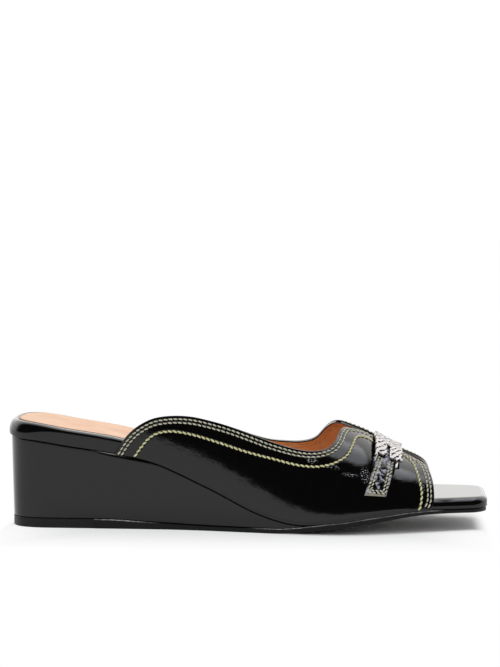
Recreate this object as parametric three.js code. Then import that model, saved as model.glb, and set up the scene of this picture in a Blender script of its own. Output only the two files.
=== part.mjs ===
// Wedge mule for the right foot, in millimetres. +X runs to the toe, +Z is up, and the outer side of the foot is -Y.
// The origin is on the floor, under the middle of the shoe's length and width.
// Sizes along the shoe are measured from the back of the heel. The upper is a wall that follows one curved form,
// the last: each of its points is given by a side, a distance from the heel, and a climb, which is 0 at the edge
// where the upper meets the sole and 1 at the crest over the foot.

import * as THREE from 'three';
import { mergeVertices } from 'three/addons/utils/BufferGeometryUtils.js';

// Length and widths of the footbed
const shoe_length = 240;
const heel_width = 56;
const waist_width = 58;
const ball_width = 80.8;
const toe_width = 46.8;
const heel_round = 22;
const heel_power = 3;
const toe_corner = 8;

// Heights of the sole, from the floor up
const lift_thick = 4.8;
const outsole_thick = 2.5;
const wedge_rise = 41.1;
const wedge_taper = 2.2;
const board_thick = 7.9;
const sock_thick = 0.8;
const toe_spring = 10.2;

// Places along the sole
const breast_at = 45;
const wedge_end = 149;
const sock_end = 196;
const outsole_margin = 0.5;

// Upper: crest height at the throat, wall, how far it stands out past the sole, and the stretch that it covers
const instep_height = 53.6;
const upper_wall = 1.8;
const upper_proud = 1.2;
const upper_back = 56;
const upper_front = 214;
const bridge_back = 187.8;
const bridge_front = 195.8;
const strap_at = 191;

// Strap tabs and buckle
const strap_width = 10.4;
const strap_neck = 8.3;
const strap_thick = 1.3;
const strap_lean = 10.1;
const strap_bend = 2.63;
const buckle_length = 13.6;
const buckle_thick = 1.3;
const buckle_slot = 1.2;
const buckle_offset = 0.4;
const slot_offset = 0.5;
const rail_width = 1.1;

// Gap left between neighbouring pieces, and the buckle rails' gap beside the strap
const fit_gap = 0.3;
const rail_gap = 1.5 * fit_gap;

// Rounded shoulder of the footbed behind the ball, and the shallow bed inside it that the sock lies flush in
const shoulder_wide = 3.7;
const shoulder_deep = 1.7;
const bed_draft = 0.15;
const bed_depth = sock_thick + fit_gap;

// Sides of the foot
const OUTER = -1;
const INNER = 1;

// Small differences in climb, or in shares of the length, that count as nothing
const small = 0.001;

const heel_half = heel_width / 2;
const waist_half = waist_width / 2;
const ball_half = ball_width / 2;
const toe_half = toe_width / 2;

// Plan of the footbed: half-width on each side of the centre line; at is a share of shoe_length
const PLAN = [
  { at: 0.00, outer: 0.97 * heel_half, inner: 0.97 * heel_half },
  { at: 0.09, outer: 1.01 * heel_half, inner: 1.00 * heel_half },
  { at: 0.18, outer: 1.02 * heel_half, inner: 0.98 * heel_half },
  { at: 0.32, outer: 1.01 * waist_half, inner: 0.90 * waist_half },
  { at: 0.40, outer: 1.07 * waist_half, inner: 0.91 * waist_half },
  { at: 0.51, outer: 0.88 * ball_half, inner: 0.735 * ball_half },
  { at: 0.61, outer: 0.985 * ball_half, inner: 0.89 * ball_half },
  { at: 0.70, outer: 1.00 * ball_half, inner: 1.00 * ball_half },
  { at: 0.79, outer: 0.915 * ball_half, inner: 0.97 * ball_half },
  { at: 0.87, outer: 1.34 * toe_half, inner: 1.43 * toe_half },
  { at: 0.93, outer: 1.16 * toe_half, inner: 1.20 * toe_half },
  { at: 1.00, outer: 1.00 * toe_half, inner: 1.00 * toe_half },
];

// Side view of the sole; at is a share of shoe_length, spring a share of toe_spring, rise a share of wedge_rise
// and board a share of board_thick. tread is a thickness, from the heel lift to the thin edge of the toe.
const SOLE = [
  { at: 0.000, spring: 0.00, tread: 1.00 * lift_thick, rise: 1.000, board: 1.00 },
  { at: 0.055, spring: 0.00, tread: 1.00 * lift_thick, rise: 0.973, board: 0.97 },
  { at: 0.137, spring: 0.00, tread: 1.00 * lift_thick, rise: 0.886, board: 1.00 },
  { at: 0.190, spring: 0.00, tread: 0.99 * lift_thick, rise: 0.832, board: 1.05 },
  { at: 0.230, spring: 0.00, tread: 0.96 * lift_thick, rise: 0.790, board: 1.07 },
  { at: 0.304, spring: 0.00, tread: 1.44 * outsole_thick, rise: 0.710, board: 1.02 },
  { at: 0.358, spring: 0.00, tread: 1.24 * outsole_thick, rise: 0.594, board: 0.96 },
  { at: 0.408, spring: 0.00, tread: 1.08 * outsole_thick, rise: 0.472, board: 0.90 },
  { at: 0.463, spring: 0.00, tread: 1.00 * outsole_thick, rise: 0.336, board: 0.83 },
  { at: 0.513, spring: 0.00, tread: 1.00 * outsole_thick, rise: 0.202, board: 0.76 },
  { at: 0.546, spring: 0.00, tread: 1.00 * outsole_thick, rise: 0.134, board: 0.72 },
  { at: 0.578, spring: 0.01, tread: 1.00 * outsole_thick, rise: 0.080, board: 0.69 },
  { at: 0.604, spring: 0.06, tread: 1.00 * outsole_thick, rise: 0.039, board: 0.67 },
  { at: 0.620, spring: 0.10, tread: 1.02 * outsole_thick, rise: 0.020, board: 0.66 },
  { at: 0.665, spring: 0.20, tread: 1.16 * outsole_thick, rise: 0.000, board: 0.66 },
  { at: 0.700, spring: 0.27, tread: 1.24 * outsole_thick, rise: 0.000, board: 0.66 },
  { at: 0.742, spring: 0.42, tread: 1.24 * outsole_thick, rise: 0.000, board: 0.66 },
  { at: 0.790, spring: 0.61, tread: 1.06 * outsole_thick, rise: 0.000, board: 0.66 },
  { at: 0.842, spring: 0.81, tread: 0.86 * outsole_thick, rise: 0.000, board: 0.66 },
  { at: 0.900, spring: 0.93, tread: 0.64 * outsole_thick, rise: 0.000, board: 0.66 },
  { at: 1.000, spring: 1.00, tread: 0.52 * outsole_thick, rise: 0.000, board: 0.66 },
];

// Rounded shoulder of the footbed, which grows broader and deeper towards the toe
const SHOULDER = [
  { at: 0.00, wide: 1.00 * shoulder_wide, deep: 1.00 * shoulder_deep },
  { at: 0.62, wide: 1.00 * shoulder_wide, deep: 1.00 * shoulder_deep },
  { at: 0.84, wide: 1.50 * shoulder_wide, deep: 2.25 * shoulder_deep },
  { at: 1.00, wide: 1.50 * shoulder_wide, deep: 2.40 * shoulder_deep },
];

// Cross-sections of the last; crest is a share of instep_height. broad widens the top of the section and
// full fills out its sides: both are 0 for a plain half ellipse.
const LAST = [
  { at: 0.233, crest: 1.52, broad: 0.36, full: 0.36 },
  { at: 0.333, crest: 1.37, broad: 0.35, full: 0.35 },
  { at: 0.417, crest: 1.27, broad: 0.33, full: 0.33 },
  { at: 0.500, crest: 1.18, broad: 0.26, full: 0.30 },
  { at: 0.583, crest: 1.10, broad: 0.14, full: 0.24 },
  { at: 0.625, crest: 1.06, broad: 0.05, full: 0.20 },
  { at: 0.667, crest: 1.02, broad: -0.05, full: 0.16 },
  { at: 0.692, crest: 0.994, broad: -0.09, full: 0.15 },
  { at: 0.721, crest: 0.938, broad: -0.10, full: 0.14 },
  { at: 0.758, crest: 0.868, broad: -0.10, full: 0.14 },
  { at: 0.771, crest: 0.829, broad: -0.10, full: 0.14 },
  { at: 0.783, crest: 0.792, broad: -0.10, full: 0.14 },
  { at: 0.796, crest: 0.759, broad: -0.10, full: 0.14 },
  { at: 0.810, crest: 0.727, broad: -0.10, full: 0.14 },
  { at: 0.825, crest: 0.705, broad: -0.10, full: 0.14 },
  { at: 0.850, crest: 0.667, broad: -0.10, full: 0.14 },
  { at: 0.875, crest: 0.627, broad: -0.10, full: 0.14 },
  { at: 0.900, crest: 0.589, broad: -0.10, full: 0.14 },
];

// Free edge of the upper from the heel end of a wing, over the wing and along the instep to the flap's corner,
// then down one side of the throat notch to the bridge; at is a share of the stretch from upper_back to bridge_back
const REAR_EDGE_OUTER = [
  { at: 0.000, climb: 0.012 },
  { at: 0.031, climb: 0.090 },
  { at: 0.061, climb: 0.152 },
  { at: 0.095, climb: 0.209 },
  { at: 0.140, climb: 0.273 },
  { at: 0.185, climb: 0.322 },
  { at: 0.231, climb: 0.362 },
  { at: 0.275, climb: 0.391 },
  { at: 0.321, climb: 0.410 },
  { at: 0.412, climb: 0.427 },
  { at: 0.503, climb: 0.427 },
  { at: 0.586, climb: 0.419 },
  { at: 0.682, climb: 0.420 },
  { at: 0.735, climb: 0.430 },
  { at: 0.778, climb: 0.455 },
  { at: 0.810, climb: 0.498 },
  { at: 0.830, climb: 0.573 },
  { at: 0.842, climb: 0.683 },
  { at: 0.852, climb: 0.760 },
  { at: 0.864, climb: 0.806 },
  { at: 0.885, climb: 0.839 },
  { at: 0.910, climb: 0.877 },
  { at: 0.942, climb: 0.898 },
  { at: 0.973, climb: 0.905 },
  { at: 0.989, climb: 0.928 },
  { at: 0.997, climb: 0.962 },
  { at: 1.000, climb: 1.000 },
];

const REAR_EDGE_INNER = [
  { at: 0.000, climb: 0.012 },
  { at: 0.031, climb: 0.056 },
  { at: 0.062, climb: 0.096 },
  { at: 0.107, climb: 0.148 },
  { at: 0.167, climb: 0.206 },
  { at: 0.228, climb: 0.257 },
  { at: 0.319, climb: 0.297 },
  { at: 0.410, climb: 0.312 },
  { at: 0.500, climb: 0.316 },
  { at: 0.560, climb: 0.322 },
  { at: 0.620, climb: 0.343 },
  { at: 0.677, climb: 0.370 },
  { at: 0.722, climb: 0.408 },
  { at: 0.748, climb: 0.455 },
  { at: 0.767, climb: 0.522 },
  { at: 0.792, climb: 0.630 },
  { at: 0.812, climb: 0.715 },
  { at: 0.830, climb: 0.776 },
  { at: 0.850, climb: 0.815 },
  { at: 0.880, climb: 0.850 },
  { at: 0.910, climb: 0.877 },
  { at: 0.942, climb: 0.898 },
  { at: 0.973, climb: 0.905 },
  { at: 0.989, climb: 0.928 },
  { at: 0.997, climb: 0.962 },
  { at: 1.000, climb: 1.000 },
];

// Free edge in front of the bridge: one side of the toe notch, the flap's corner and the toe opening, down to
// the sole; at is a share of the stretch from bridge_front to upper_front
const TOE_EDGE_OUTER = [
  { at: 0.000, climb: 1.000 },
  { at: 0.022, climb: 0.955 },
  { at: 0.080, climb: 0.905 },
  { at: 0.155, climb: 0.872 },
  { at: 0.324, climb: 0.836 },
  { at: 0.516, climb: 0.791 },
  { at: 0.665, climb: 0.752 },
  { at: 0.762, climb: 0.708 },
  { at: 0.842, climb: 0.632 },
  { at: 0.915, climb: 0.520 },
  { at: 0.975, climb: 0.370 },
  { at: 0.998, climb: 0.220 },
  { at: 0.990, climb: 0.120 },
  { at: 0.955, climb: 0.060 },
  { at: 0.920, climb: 0.012 },
];

const TOE_EDGE_INNER = [
  { at: 0.000, climb: 1.000 },
  { at: 0.022, climb: 0.955 },
  { at: 0.080, climb: 0.905 },
  { at: 0.155, climb: 0.868 },
  { at: 0.324, climb: 0.822 },
  { at: 0.510, climb: 0.768 },
  { at: 0.650, climb: 0.715 },
  { at: 0.745, climb: 0.660 },
  { at: 0.825, climb: 0.580 },
  { at: 0.900, climb: 0.465 },
  { at: 0.960, climb: 0.330 },
  { at: 0.990, climb: 0.200 },
  { at: 0.985, climb: 0.110 },
  { at: 0.955, climb: 0.060 },
  { at: 0.920, climb: 0.012 },
];

// Climbs of the strap tabs: the lower end, where the flare to the full width is done and where it starts,
// and the upper end under the buckle
const strap_low = 0.165;
const flare_low = 0.20;
const flare_high = 0.535;
const strap_top = 0.70;

// Climbs of the buckle: tips of its rails, low edge of the plate, ends of its slot, and the stretch over which
// the plate rises from the leather at the crest to lie on the tabs
const rail_low = 0.43;
const plate_low = 0.535;
const slot_low = 0.57;
const slot_high = 0.73;
const plate_flat = 0.86;
const plate_rise = 0.92;

// Columns of the buckle's grid that its rails and its slot lie in
const back_rail_column = 0;
const slot_column = 2;
const front_rail_column = 4;
const buckle_columns = 6;

// Counts of facets, and of halvings when a height is looked up
const edge_columns = 44;
const bridge_columns = 5;
const toe_columns = 22;
const climb_rows = 9;
const slab_step = 5;
const round_steps = 7;
const shoulder_steps = 3;
const strap_columns = 2;
const strap_rows = 14;
const buckle_rows = [3, 2, 5, 2, 3];
const halvings = 30;

// Rows of a table as one smooth curve that never overshoots its rows (Fritsch and Carlson's slopes)
function smooth_column(rows, column) {
  const x = rows.map((row) => row.at);
  const y = rows.map((row) => row[column]);
  const last = x.length - 1;
  const rise = [];
  for (let i = 0; i < last; i += 1) {
    rise.push((y[i + 1] - y[i]) / (x[i + 1] - x[i]));
  }
  const slope = [rise[0]];
  for (let i = 1; i < last; i += 1) {
    if (rise[i - 1] * rise[i] <= 0) {
      slope.push(0);
    } else {
      const before = x[i] - x[i - 1];
      const after = x[i + 1] - x[i];
      const weight_a = 2 * after + before;
      const weight_b = after + 2 * before;
      slope.push((weight_a + weight_b) / (weight_a / rise[i - 1] + weight_b / rise[i]));
    }
  }
  slope.push(rise[last - 1]);
  return (at) => {
    const place = Math.min(Math.max(at, x[0]), x[last]);
    let i = 0;
    while (i < last - 1 && place > x[i + 1]) {
      i += 1;
    }
    const span = x[i + 1] - x[i];
    const t = (place - x[i]) / span;
    const t2 = t * t;
    const t3 = t2 * t;
    return (2 * t3 - 3 * t2 + 1) * y[i] + (t3 - 2 * t2 + t) * span * slope[i]
      + (3 * t2 - 2 * t3) * y[i + 1] + (t3 - t2) * span * slope[i + 1];
  };
}

// A table's column as a function of the distance from the heel
function along(rows, column) {
  const curve = smooth_column(rows, column);
  return (s) => curve(s / shoe_length);
}

const outer_half = along(PLAN, 'outer');
const inner_half = along(PLAN, 'inner');
const spring_share = along(SOLE, 'spring');
const tread_at = along(SOLE, 'tread');
const rise_share = along(SOLE, 'rise');
const board_share = along(SOLE, 'board');
const shoulder_wide_at = along(SHOULDER, 'wide');
const shoulder_deep_at = along(SHOULDER, 'deep');
const crest_share = along(LAST, 'crest');
const broad_at = along(LAST, 'broad');
const full_at = along(LAST, 'full');

const half_width = (side, s) => (side === OUTER ? outer_half(s) : inner_half(s));
const under_at = (s) => toe_spring * spring_share(s);
const tread_top = (s) => under_at(s) + tread_at(s);
const seat_at = (s) => tread_top(s) + wedge_rise * rise_share(s);
const board_base = (s) => seat_at(s) + fit_gap;
const board_top = (s) => board_base(s) + board_thick * board_share(s);
const sock_base = (s) => board_top(s) - sock_thick;
const bed_edge = (s) => shoulder_wide_at(s) + bed_draft;
const sock_margin = (s) => bed_edge(s) + fit_gap;
const bed_end = sock_end + fit_gap;
const bed_floor = (s) => board_top(s) - (s < bed_end ? bed_depth : 0);

// Point of the last's surface
function last_point(side, s, climb) {
  const angle = (1 - climb) * Math.PI / 2;
  const reach = half_width(side, s) + upper_proud;
  const feather = seat_at(s) + fit_gap;
  const arch = instep_height * crest_share(s) - feather;
  const out = reach * Math.sin(angle) * (1 + broad_at(s) * Math.cos(angle) ** 2);
  const up = arch * Math.cos(angle) * (1 + full_at(s) * Math.sin(angle) ** 2);
  return new THREE.Vector3(s - shoe_length / 2, side * out, feather + up);
}

// Point at a height off the last's surface, along its outward normal
function off_last(side, s, climb, height) {
  const ahead = last_point(side, s + small * shoe_length, climb);
  const behind = last_point(side, s - small * shoe_length, climb);
  const above = last_point(side, s, climb + small);
  const below = last_point(side, s, climb - small);
  const forward = ahead.sub(behind);
  const upward = above.sub(below);
  const normal = forward.cross(upward).multiplyScalar(-side).normalize();
  return last_point(side, s, climb).addScaledVector(normal, height);
}

// Climb at which the last passes a height above the floor
function climb_at_height(side, s, height) {
  let low = 0;
  let high = 1;
  for (let i = 0; i < halvings; i += 1) {
    const middle = (low + high) / 2;
    if (last_point(side, s, middle).z < height) {
      low = middle;
    } else {
      high = middle;
    }
  }
  return low;
}

// Stretch over which the footbed is drawn in, and the length that its edge takes to turn in and out
const cover_back = upper_back - 2 * fit_gap;
const cover_front = upper_front + 2 * fit_gap;
const cover_step = 1;
const sock_lead = 1.8;

// Half-width of the footbed: the plan, drawn in under the upper so that the board fits inside its wall
function board_half(side, s) {
  const plain = half_width(side, s);
  const is_covered = s > cover_back && s < cover_front;
  if (!is_covered) {
    return plain;
  }
  const inside = off_last(side, s, climb_at_height(side, s, board_top(s)), -upper_wall);
  return Math.min(plain, Math.abs(inside.y) - fit_gap);
}

// Distances from the heel of a slab's sections, closer where a rounded heel or a toe corner turns
function sections(start, end, has_round_back, has_toe, extra = []) {
  const list = [...extra];
  const first_turn = 0.35;
  let from = start;
  let to = end;
  if (has_round_back) {
    for (let i = 0; i < round_steps; i += 1) {
      const angle = (i + first_turn) / round_steps * Math.PI / 2;
      list.push(start + heel_round * (1 - Math.cos(angle) ** (2 / heel_power)));
    }
    from = start + heel_round;
  }
  if (has_toe) {
    for (let i = 1; i <= round_steps; i += 1) {
      const angle = i / round_steps * Math.PI / 2;
      list.push(end - toe_corner * (1 - Math.sin(angle)));
    }
    to = end - toe_corner;
  }
  const count = Math.max(2, Math.round((to - from) / slab_step));
  for (let i = 0; i <= count; i += 1) {
    list.push(from + (to - from) * i / count);
  }
  return list.sort((a, b) => a - b);
}

// Share of the half-width left where the heel rounds off, and the amount taken off at the toe's corners
function round_back_share(start, s) {
  const t = Math.max(0, 1 - (s - start) / heel_round);
  return (1 - t ** heel_power) ** (1 / heel_power);
}

function toe_corner_loss(end, s) {
  const t = Math.max(0, 1 - (end - s) / toe_corner);
  return toe_corner * (1 - Math.sqrt(1 - t * t));
}

// A closed mesh from lists of corners and faces, turned so that its faces point out
function closed_geometry(corners, faces) {
  const geometry = new THREE.BufferGeometry();
  geometry.setAttribute('position', new THREE.Float32BufferAttribute(corners.flatMap((p) => p.toArray()), 3));
  let volume = 0;
  const cross = new THREE.Vector3();
  for (const [a, b, c] of faces) {
    volume += corners[a].dot(cross.crossVectors(corners[b], corners[c]));
  }
  const turned = volume > 0 ? faces : faces.map(([a, b, c]) => [a, c, b]);
  geometry.setIndex(turned.flat());
  return mergeVertices(geometry);
}

function quad(faces, a, b, c, d) {
  faces.push([a, b, c], [a, c, d]);
}

// A slab of the sole: one ring of points per layer, with flat strips across for its two faces.
// A layer gives how far it is drawn in from the outline, and its height, both by distance from the heel.
function slab(shape, layers) {
  const { start, end, half, round_back = false, toe = false, extra = [] } = shape;
  const marks = sections(start, end, round_back, toe, extra);
  const corners = [];
  const faces = [];
  const ring = 2 * marks.length;
  for (const layer of layers) {
    const row = marks.map((s) => {
      const inset = layer.inset(s);
      const back_pull = round_back ? inset * Math.max(0, 1 - (s - start) / heel_round) : 0;
      const toe_pull = toe ? inset * Math.max(0, 1 - (end - s) / toe_corner) : 0;
      const place = s + back_pull - toe_pull;
      const share = round_back ? round_back_share(start, s) : 1;
      const loss = toe ? toe_corner_loss(end, s) : 0;
      const across = (side) => side * ((half(side, s) - inset) * share - loss);
      return { place, across };
    });
    for (const { place, across } of row) {
      corners.push(new THREE.Vector3(place - shoe_length / 2, across(OUTER), layer.height(place)));
    }
    for (const { place, across } of [...row].reverse()) {
      corners.push(new THREE.Vector3(place - shoe_length / 2, across(INNER), layer.height(place)));
    }
  }
  for (let k = 0; k + 1 < layers.length; k += 1) {
    for (let i = 0; i < ring; i += 1) {
      const next = (i + 1) % ring;
      quad(faces, k * ring + i, k * ring + next, (k + 1) * ring + next, (k + 1) * ring + i);
    }
  }
  const top = (layers.length - 1) * ring;
  for (let i = 0; i + 1 < marks.length; i += 1) {
    const far = ring - 1 - i;
    quad(faces, i, far, far - 1, i + 1);
    quad(faces, top + i, top + i + 1, top + far - 1, top + far);
  }
  return closed_geometry(corners, faces);
}

// A wall over a grid of cells: an outer and an inner skin, and rims wherever a filled cell ends.
// is_open says which cells are left out, and is_joined which rims meet another grid's and are left out.
function walled_grid(columns, rows, point, is_open = () => false, is_joined = () => false) {
  const corners = [];
  const faces = [];
  const at = (i, j, skin) => (i * (rows + 1) + j) * 2 + skin;
  for (let i = 0; i <= columns; i += 1) {
    for (let j = 0; j <= rows; j += 1) {
      corners.push(point(i, j, 1), point(i, j, 0));
    }
  }
  const is_filled = (i, j) => i >= 0 && j >= 0 && i < columns && j < rows && !is_open(i, j);
  for (let i = 0; i < columns; i += 1) {
    for (let j = 0; j < rows; j += 1) {
      if (!is_filled(i, j)) {
        continue;
      }
      quad(faces, at(i, j, 0), at(i + 1, j, 0), at(i + 1, j + 1, 0), at(i, j + 1, 0));
      quad(faces, at(i, j, 1), at(i, j + 1, 1), at(i + 1, j + 1, 1), at(i + 1, j, 1));
      const rims = [
        { near: [i, j - 1], from: [i, j], to: [i + 1, j] },
        { near: [i + 1, j], from: [i + 1, j], to: [i + 1, j + 1] },
        { near: [i, j + 1], from: [i + 1, j + 1], to: [i, j + 1] },
        { near: [i - 1, j], from: [i, j + 1], to: [i, j] },
      ];
      for (const { near, from, to } of rims) {
        if (!is_filled(...near) && !is_joined(...near)) {
          quad(faces, at(...from, 0), at(...from, 1), at(...to, 1), at(...to, 0));
        }
      }
    }
  }
  return { corners, faces };
}

// Evenly spaced points of a free edge, as distance from the heel and climb. The climb is scaled to about the
// length of the section while the spline is drawn, so that it turns evenly.
function edge_points(rows, from, to, count) {
  const girth = ball_width;
  const knots = rows.map((row) => new THREE.Vector2(from + (to - from) * row.at, row.climb * girth));
  return new THREE.SplineCurve(knots).getSpacedPoints(count).map((p) => ({ s: p.x, climb: p.y / girth }));
}

// Both edges of one side of the upper: its free edge over the wing, bridge and toe, and under each of its points
// the point of the sole's edge that the wall's column starts from
function upper_columns(rear_rows, toe_rows) {
  const rear = edge_points(rear_rows, upper_back, bridge_back, edge_columns);
  const toe = edge_points(toe_rows, bridge_front, upper_front, toe_columns);
  const list = [];
  const even_share = 0.35;
  rear.forEach((p, i) => {
    const even = upper_back + (bridge_back - upper_back) * i / edge_columns;
    list.push({ top: p, foot: p.s + (even - p.s) * even_share });
  });
  for (let i = 1; i < bridge_columns; i += 1) {
    const s = bridge_back + (bridge_front - bridge_back) * i / bridge_columns;
    list.push({ top: { s, climb: 1 }, foot: s });
  }
  const toe_foot = toe[toe_columns].s;
  toe.forEach((p, i) => {
    list.push({ top: p, foot: bridge_front + (toe_foot - bridge_front) * i / toe_columns });
  });
  return list;
}

function upper_side(side, rear_rows, toe_rows) {
  const columns = upper_columns(rear_rows, toe_rows);
  const point = (i, j, skin) => {
    const { top, foot } = columns[i];
    const share = j / climb_rows;
    const s = foot + (top.s - foot) * share;
    const climb = top.climb * share;
    return off_last(side, s, climb, skin === 1 ? 0 : -upper_wall);
  };
  const is_bridge = (i, j) => j === climb_rows && i >= edge_columns && i < edge_columns + bridge_columns;
  return walled_grid(columns.length - 1, climb_rows, point, () => false, is_bridge);
}

// The upper: both sides in one wall, joined along the crest of the bridge
function upper_geometry() {
  const outer = upper_side(OUTER, REAR_EDGE_OUTER, TOE_EDGE_OUTER);
  const inner = upper_side(INNER, REAR_EDGE_INNER, TOE_EDGE_INNER);
  const shift = outer.corners.length;
  const turned = inner.faces.map(([a, b, c]) => [a + shift, c + shift, b + shift]);
  return closed_geometry([...outer.corners, ...inner.corners], [...outer.faces, ...turned]);
}

// How far the sole's sides are drawn in towards the floor
const taper_at = (s) => wedge_taper * rise_share(s);
const no_inset = () => 0;

function heel_lift_geometry() {
  const shape = { start: 0, end: breast_at - fit_gap / 2, half: half_width, round_back: true };
  return slab(shape, [
    { inset: taper_at, height: () => 0 },
    { inset: taper_at, height: tread_top },
  ]);
}

function outsole_geometry() {
  const shape = { start: breast_at + fit_gap / 2, end: shoe_length, half: half_width, toe: true };
  const inset = (s) => Math.max(taper_at(s), outsole_margin);
  return slab(shape, [
    { inset, height: under_at },
    { inset, height: tread_top },
  ]);
}

function wedge_geometry() {
  const shape = { start: 0, end: wedge_end, half: half_width, round_back: true };
  return slab(shape, [
    { inset: taper_at, height: (s) => tread_top(s) + fit_gap },
    { inset: no_inset, height: seat_at },
  ]);
}

function footbed_geometry() {
  const back_marks = [cover_back - cover_step, cover_back + fit_gap / 2];
  const bed_marks = [bed_end - fit_gap / 2, bed_end + fit_gap / 2];
  const front_marks = [cover_front - fit_gap / 2, cover_front + cover_step];
  const extra = [...back_marks, ...bed_marks, ...front_marks];
  const shape = { start: 0, end: shoe_length, half: board_half, round_back: true, toe: true, extra };
  const shoulder = [];
  for (let k = 0; k <= shoulder_steps; k += 1) {
    const angle = k / shoulder_steps * Math.PI / 2;
    shoulder.push({
      inset: (s) => shoulder_wide_at(s) * (1 - Math.cos(angle)),
      height: (s) => board_top(s) - shoulder_deep_at(s) * (1 - Math.sin(angle)),
    });
  }
  return slab(shape, [
    { inset: no_inset, height: board_base },
    ...shoulder,
    { inset: bed_edge, height: bed_floor },
  ]);
}

// The sock keeps inside the bed: it is drawn in a little behind the place where the footbed is
function sock_geometry() {
  const half = (side, s) => Math.min(board_half(side, s), board_half(side, s + sock_lead)) - sock_margin(s);
  const back_edge = cover_back - sock_lead;
  const extra = [back_edge - cover_step, back_edge + fit_gap / 2];
  const shape = { start: sock_margin(0), end: sock_end, half, round_back: true, extra };
  return slab(shape, [
    { inset: no_inset, height: sock_base },
    { inset: no_inset, height: board_top },
  ]);
}

// Middle and half-width of the strap, which leans back and widens as it comes down the side
const strap_middle = (climb) => strap_at - strap_lean * (1 - climb) ** strap_bend;

function strap_half(climb) {
  const share = Math.min(Math.max((flare_high - climb) / (flare_high - flare_low), 0), 1);
  return (strap_neck + (strap_width - strap_neck) * share) / 2;
}

function strap_geometry(side) {
  const point = (i, j, skin) => {
    const climb = strap_top + (strap_low - strap_top) * j / strap_rows;
    const s = strap_middle(climb) + strap_half(climb) * (2 * i / strap_columns - 1);
    return off_last(side, s, climb, skin === 1 ? fit_gap + strap_thick : fit_gap);
  };
  const { corners, faces } = walled_grid(strap_columns, strap_rows, point);
  return closed_geometry(corners, faces);
}

// The buckle's lines at a climb, from the heel side to the toe side: the plate's edges, its slot, and below the
// plate the two slim rails that run down beside the strap
function buckle_lines(climb) {
  const middle = strap_at - buckle_offset;
  const half = buckle_length / 2;
  const clear = strap_half(climb) + rail_gap;
  const is_rail = climb < plate_low + small;
  const back_rail = is_rail ? strap_middle(climb) - clear - rail_width : middle - half;
  const front_rail = strap_middle(climb) + clear;
  return [
    back_rail,
    back_rail + rail_width,
    middle - slot_offset - buckle_slot / 2,
    middle - slot_offset + buckle_slot / 2,
    front_rail,
    front_rail + rail_width,
    middle + half,
  ];
}

// Climbs of the buckle's rows on one side, from the crest down to the tip of the rails
function buckle_climbs() {
  const stops = [1, plate_flat, slot_high, slot_low, plate_low, rail_low];
  const list = [1];
  buckle_rows.forEach((count, k) => {
    for (let i = 1; i <= count; i += 1) {
      list.push(stops[k] + (stops[k + 1] - stops[k]) * i / count);
    }
  });
  return list;
}

function buckle_geometry() {
  const climbs = buckle_climbs();
  const one_side = climbs.length - 1;
  const rows = 2 * one_side;
  const lift_at = (climb) => {
    const t = Math.min(Math.max((plate_rise - climb) / (plate_rise - strap_top), 0), 1);
    return fit_gap + (strap_thick + fit_gap) * t * t * (3 - 2 * t);
  };
  const point = (i, j, skin) => {
    const side = j < one_side ? OUTER : INNER;
    const climb = climbs[Math.abs(j - one_side)];
    const height = lift_at(climb) + (skin === 1 ? buckle_thick : 0);
    return off_last(side, buckle_lines(climb)[i], climb, height);
  };
  const is_open = (i, j) => {
    const k = j < one_side ? one_side - j : j - one_side + 1;
    const low = climbs[k];
    if (low < plate_low - small) {
      return i !== back_rail_column && i !== front_rail_column;
    }
    return i === slot_column && low >= slot_low - small && low < slot_high - small;
  };
  const { corners, faces } = walled_grid(buckle_columns, rows, point, is_open);
  return closed_geometry(corners, faces);
}

const PATENT = { color: 0x0b0a0a, roughness: 0.12, metalness: 0 };
const SATIN = { color: 0x121212, roughness: 0.45, metalness: 0 };
const KID = { color: 0xe8bd9c, roughness: 0.6, metalness: 0 };
const SILVER = { color: 0xcfcfcf, roughness: 0.3, metalness: 1 };

const PIECES = [
  { name: 'heel_lift', geometry: heel_lift_geometry(), finish: SATIN },
  { name: 'outsole', geometry: outsole_geometry(), finish: SATIN },
  { name: 'wedge', geometry: wedge_geometry(), finish: PATENT },
  { name: 'footbed', geometry: footbed_geometry(), finish: PATENT },
  { name: 'sock', geometry: sock_geometry(), finish: KID },
  { name: 'upper', geometry: upper_geometry(), finish: PATENT },
  { name: 'strap_outer', geometry: strap_geometry(OUTER), finish: PATENT },
  { name: 'strap_inner', geometry: strap_geometry(INNER), finish: PATENT },
  { name: 'buckle', geometry: buckle_geometry(), finish: SILVER },
];

const shoe = new THREE.Group();
for (const { name, geometry, finish } of PIECES) {
  const mesh = new THREE.Mesh(geometry, new THREE.MeshStandardMaterial(finish));
  mesh.name = name;
  shoe.add(mesh);
}

export default shoe;
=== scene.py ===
"""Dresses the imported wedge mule: patent leather over sole and upper, kid sock, tan lining, stitching and buckle.

Lengths are in millimetres up to the point where a mesh is made. Places along the shoe are distances from the back of
the heel. The upper follows one curved form, the last: a side, a distance and a climb give a point on it, and the climb
is 0 at the sole's edge and 1 at the crest over the foot.
"""

import math

import bmesh
import bpy
import numpy as np
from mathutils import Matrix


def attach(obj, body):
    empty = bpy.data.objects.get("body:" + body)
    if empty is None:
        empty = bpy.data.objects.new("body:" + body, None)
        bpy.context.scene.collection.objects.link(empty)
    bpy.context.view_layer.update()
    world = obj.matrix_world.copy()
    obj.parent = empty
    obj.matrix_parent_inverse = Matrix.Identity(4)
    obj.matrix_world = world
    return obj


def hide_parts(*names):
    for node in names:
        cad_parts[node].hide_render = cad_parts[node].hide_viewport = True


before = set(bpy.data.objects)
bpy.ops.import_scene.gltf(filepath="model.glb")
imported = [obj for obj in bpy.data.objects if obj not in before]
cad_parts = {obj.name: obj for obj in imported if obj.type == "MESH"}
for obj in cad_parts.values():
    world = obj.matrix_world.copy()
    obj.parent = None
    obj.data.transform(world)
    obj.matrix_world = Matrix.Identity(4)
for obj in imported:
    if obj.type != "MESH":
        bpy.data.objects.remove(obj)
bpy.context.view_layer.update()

MM = 0.001
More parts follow.
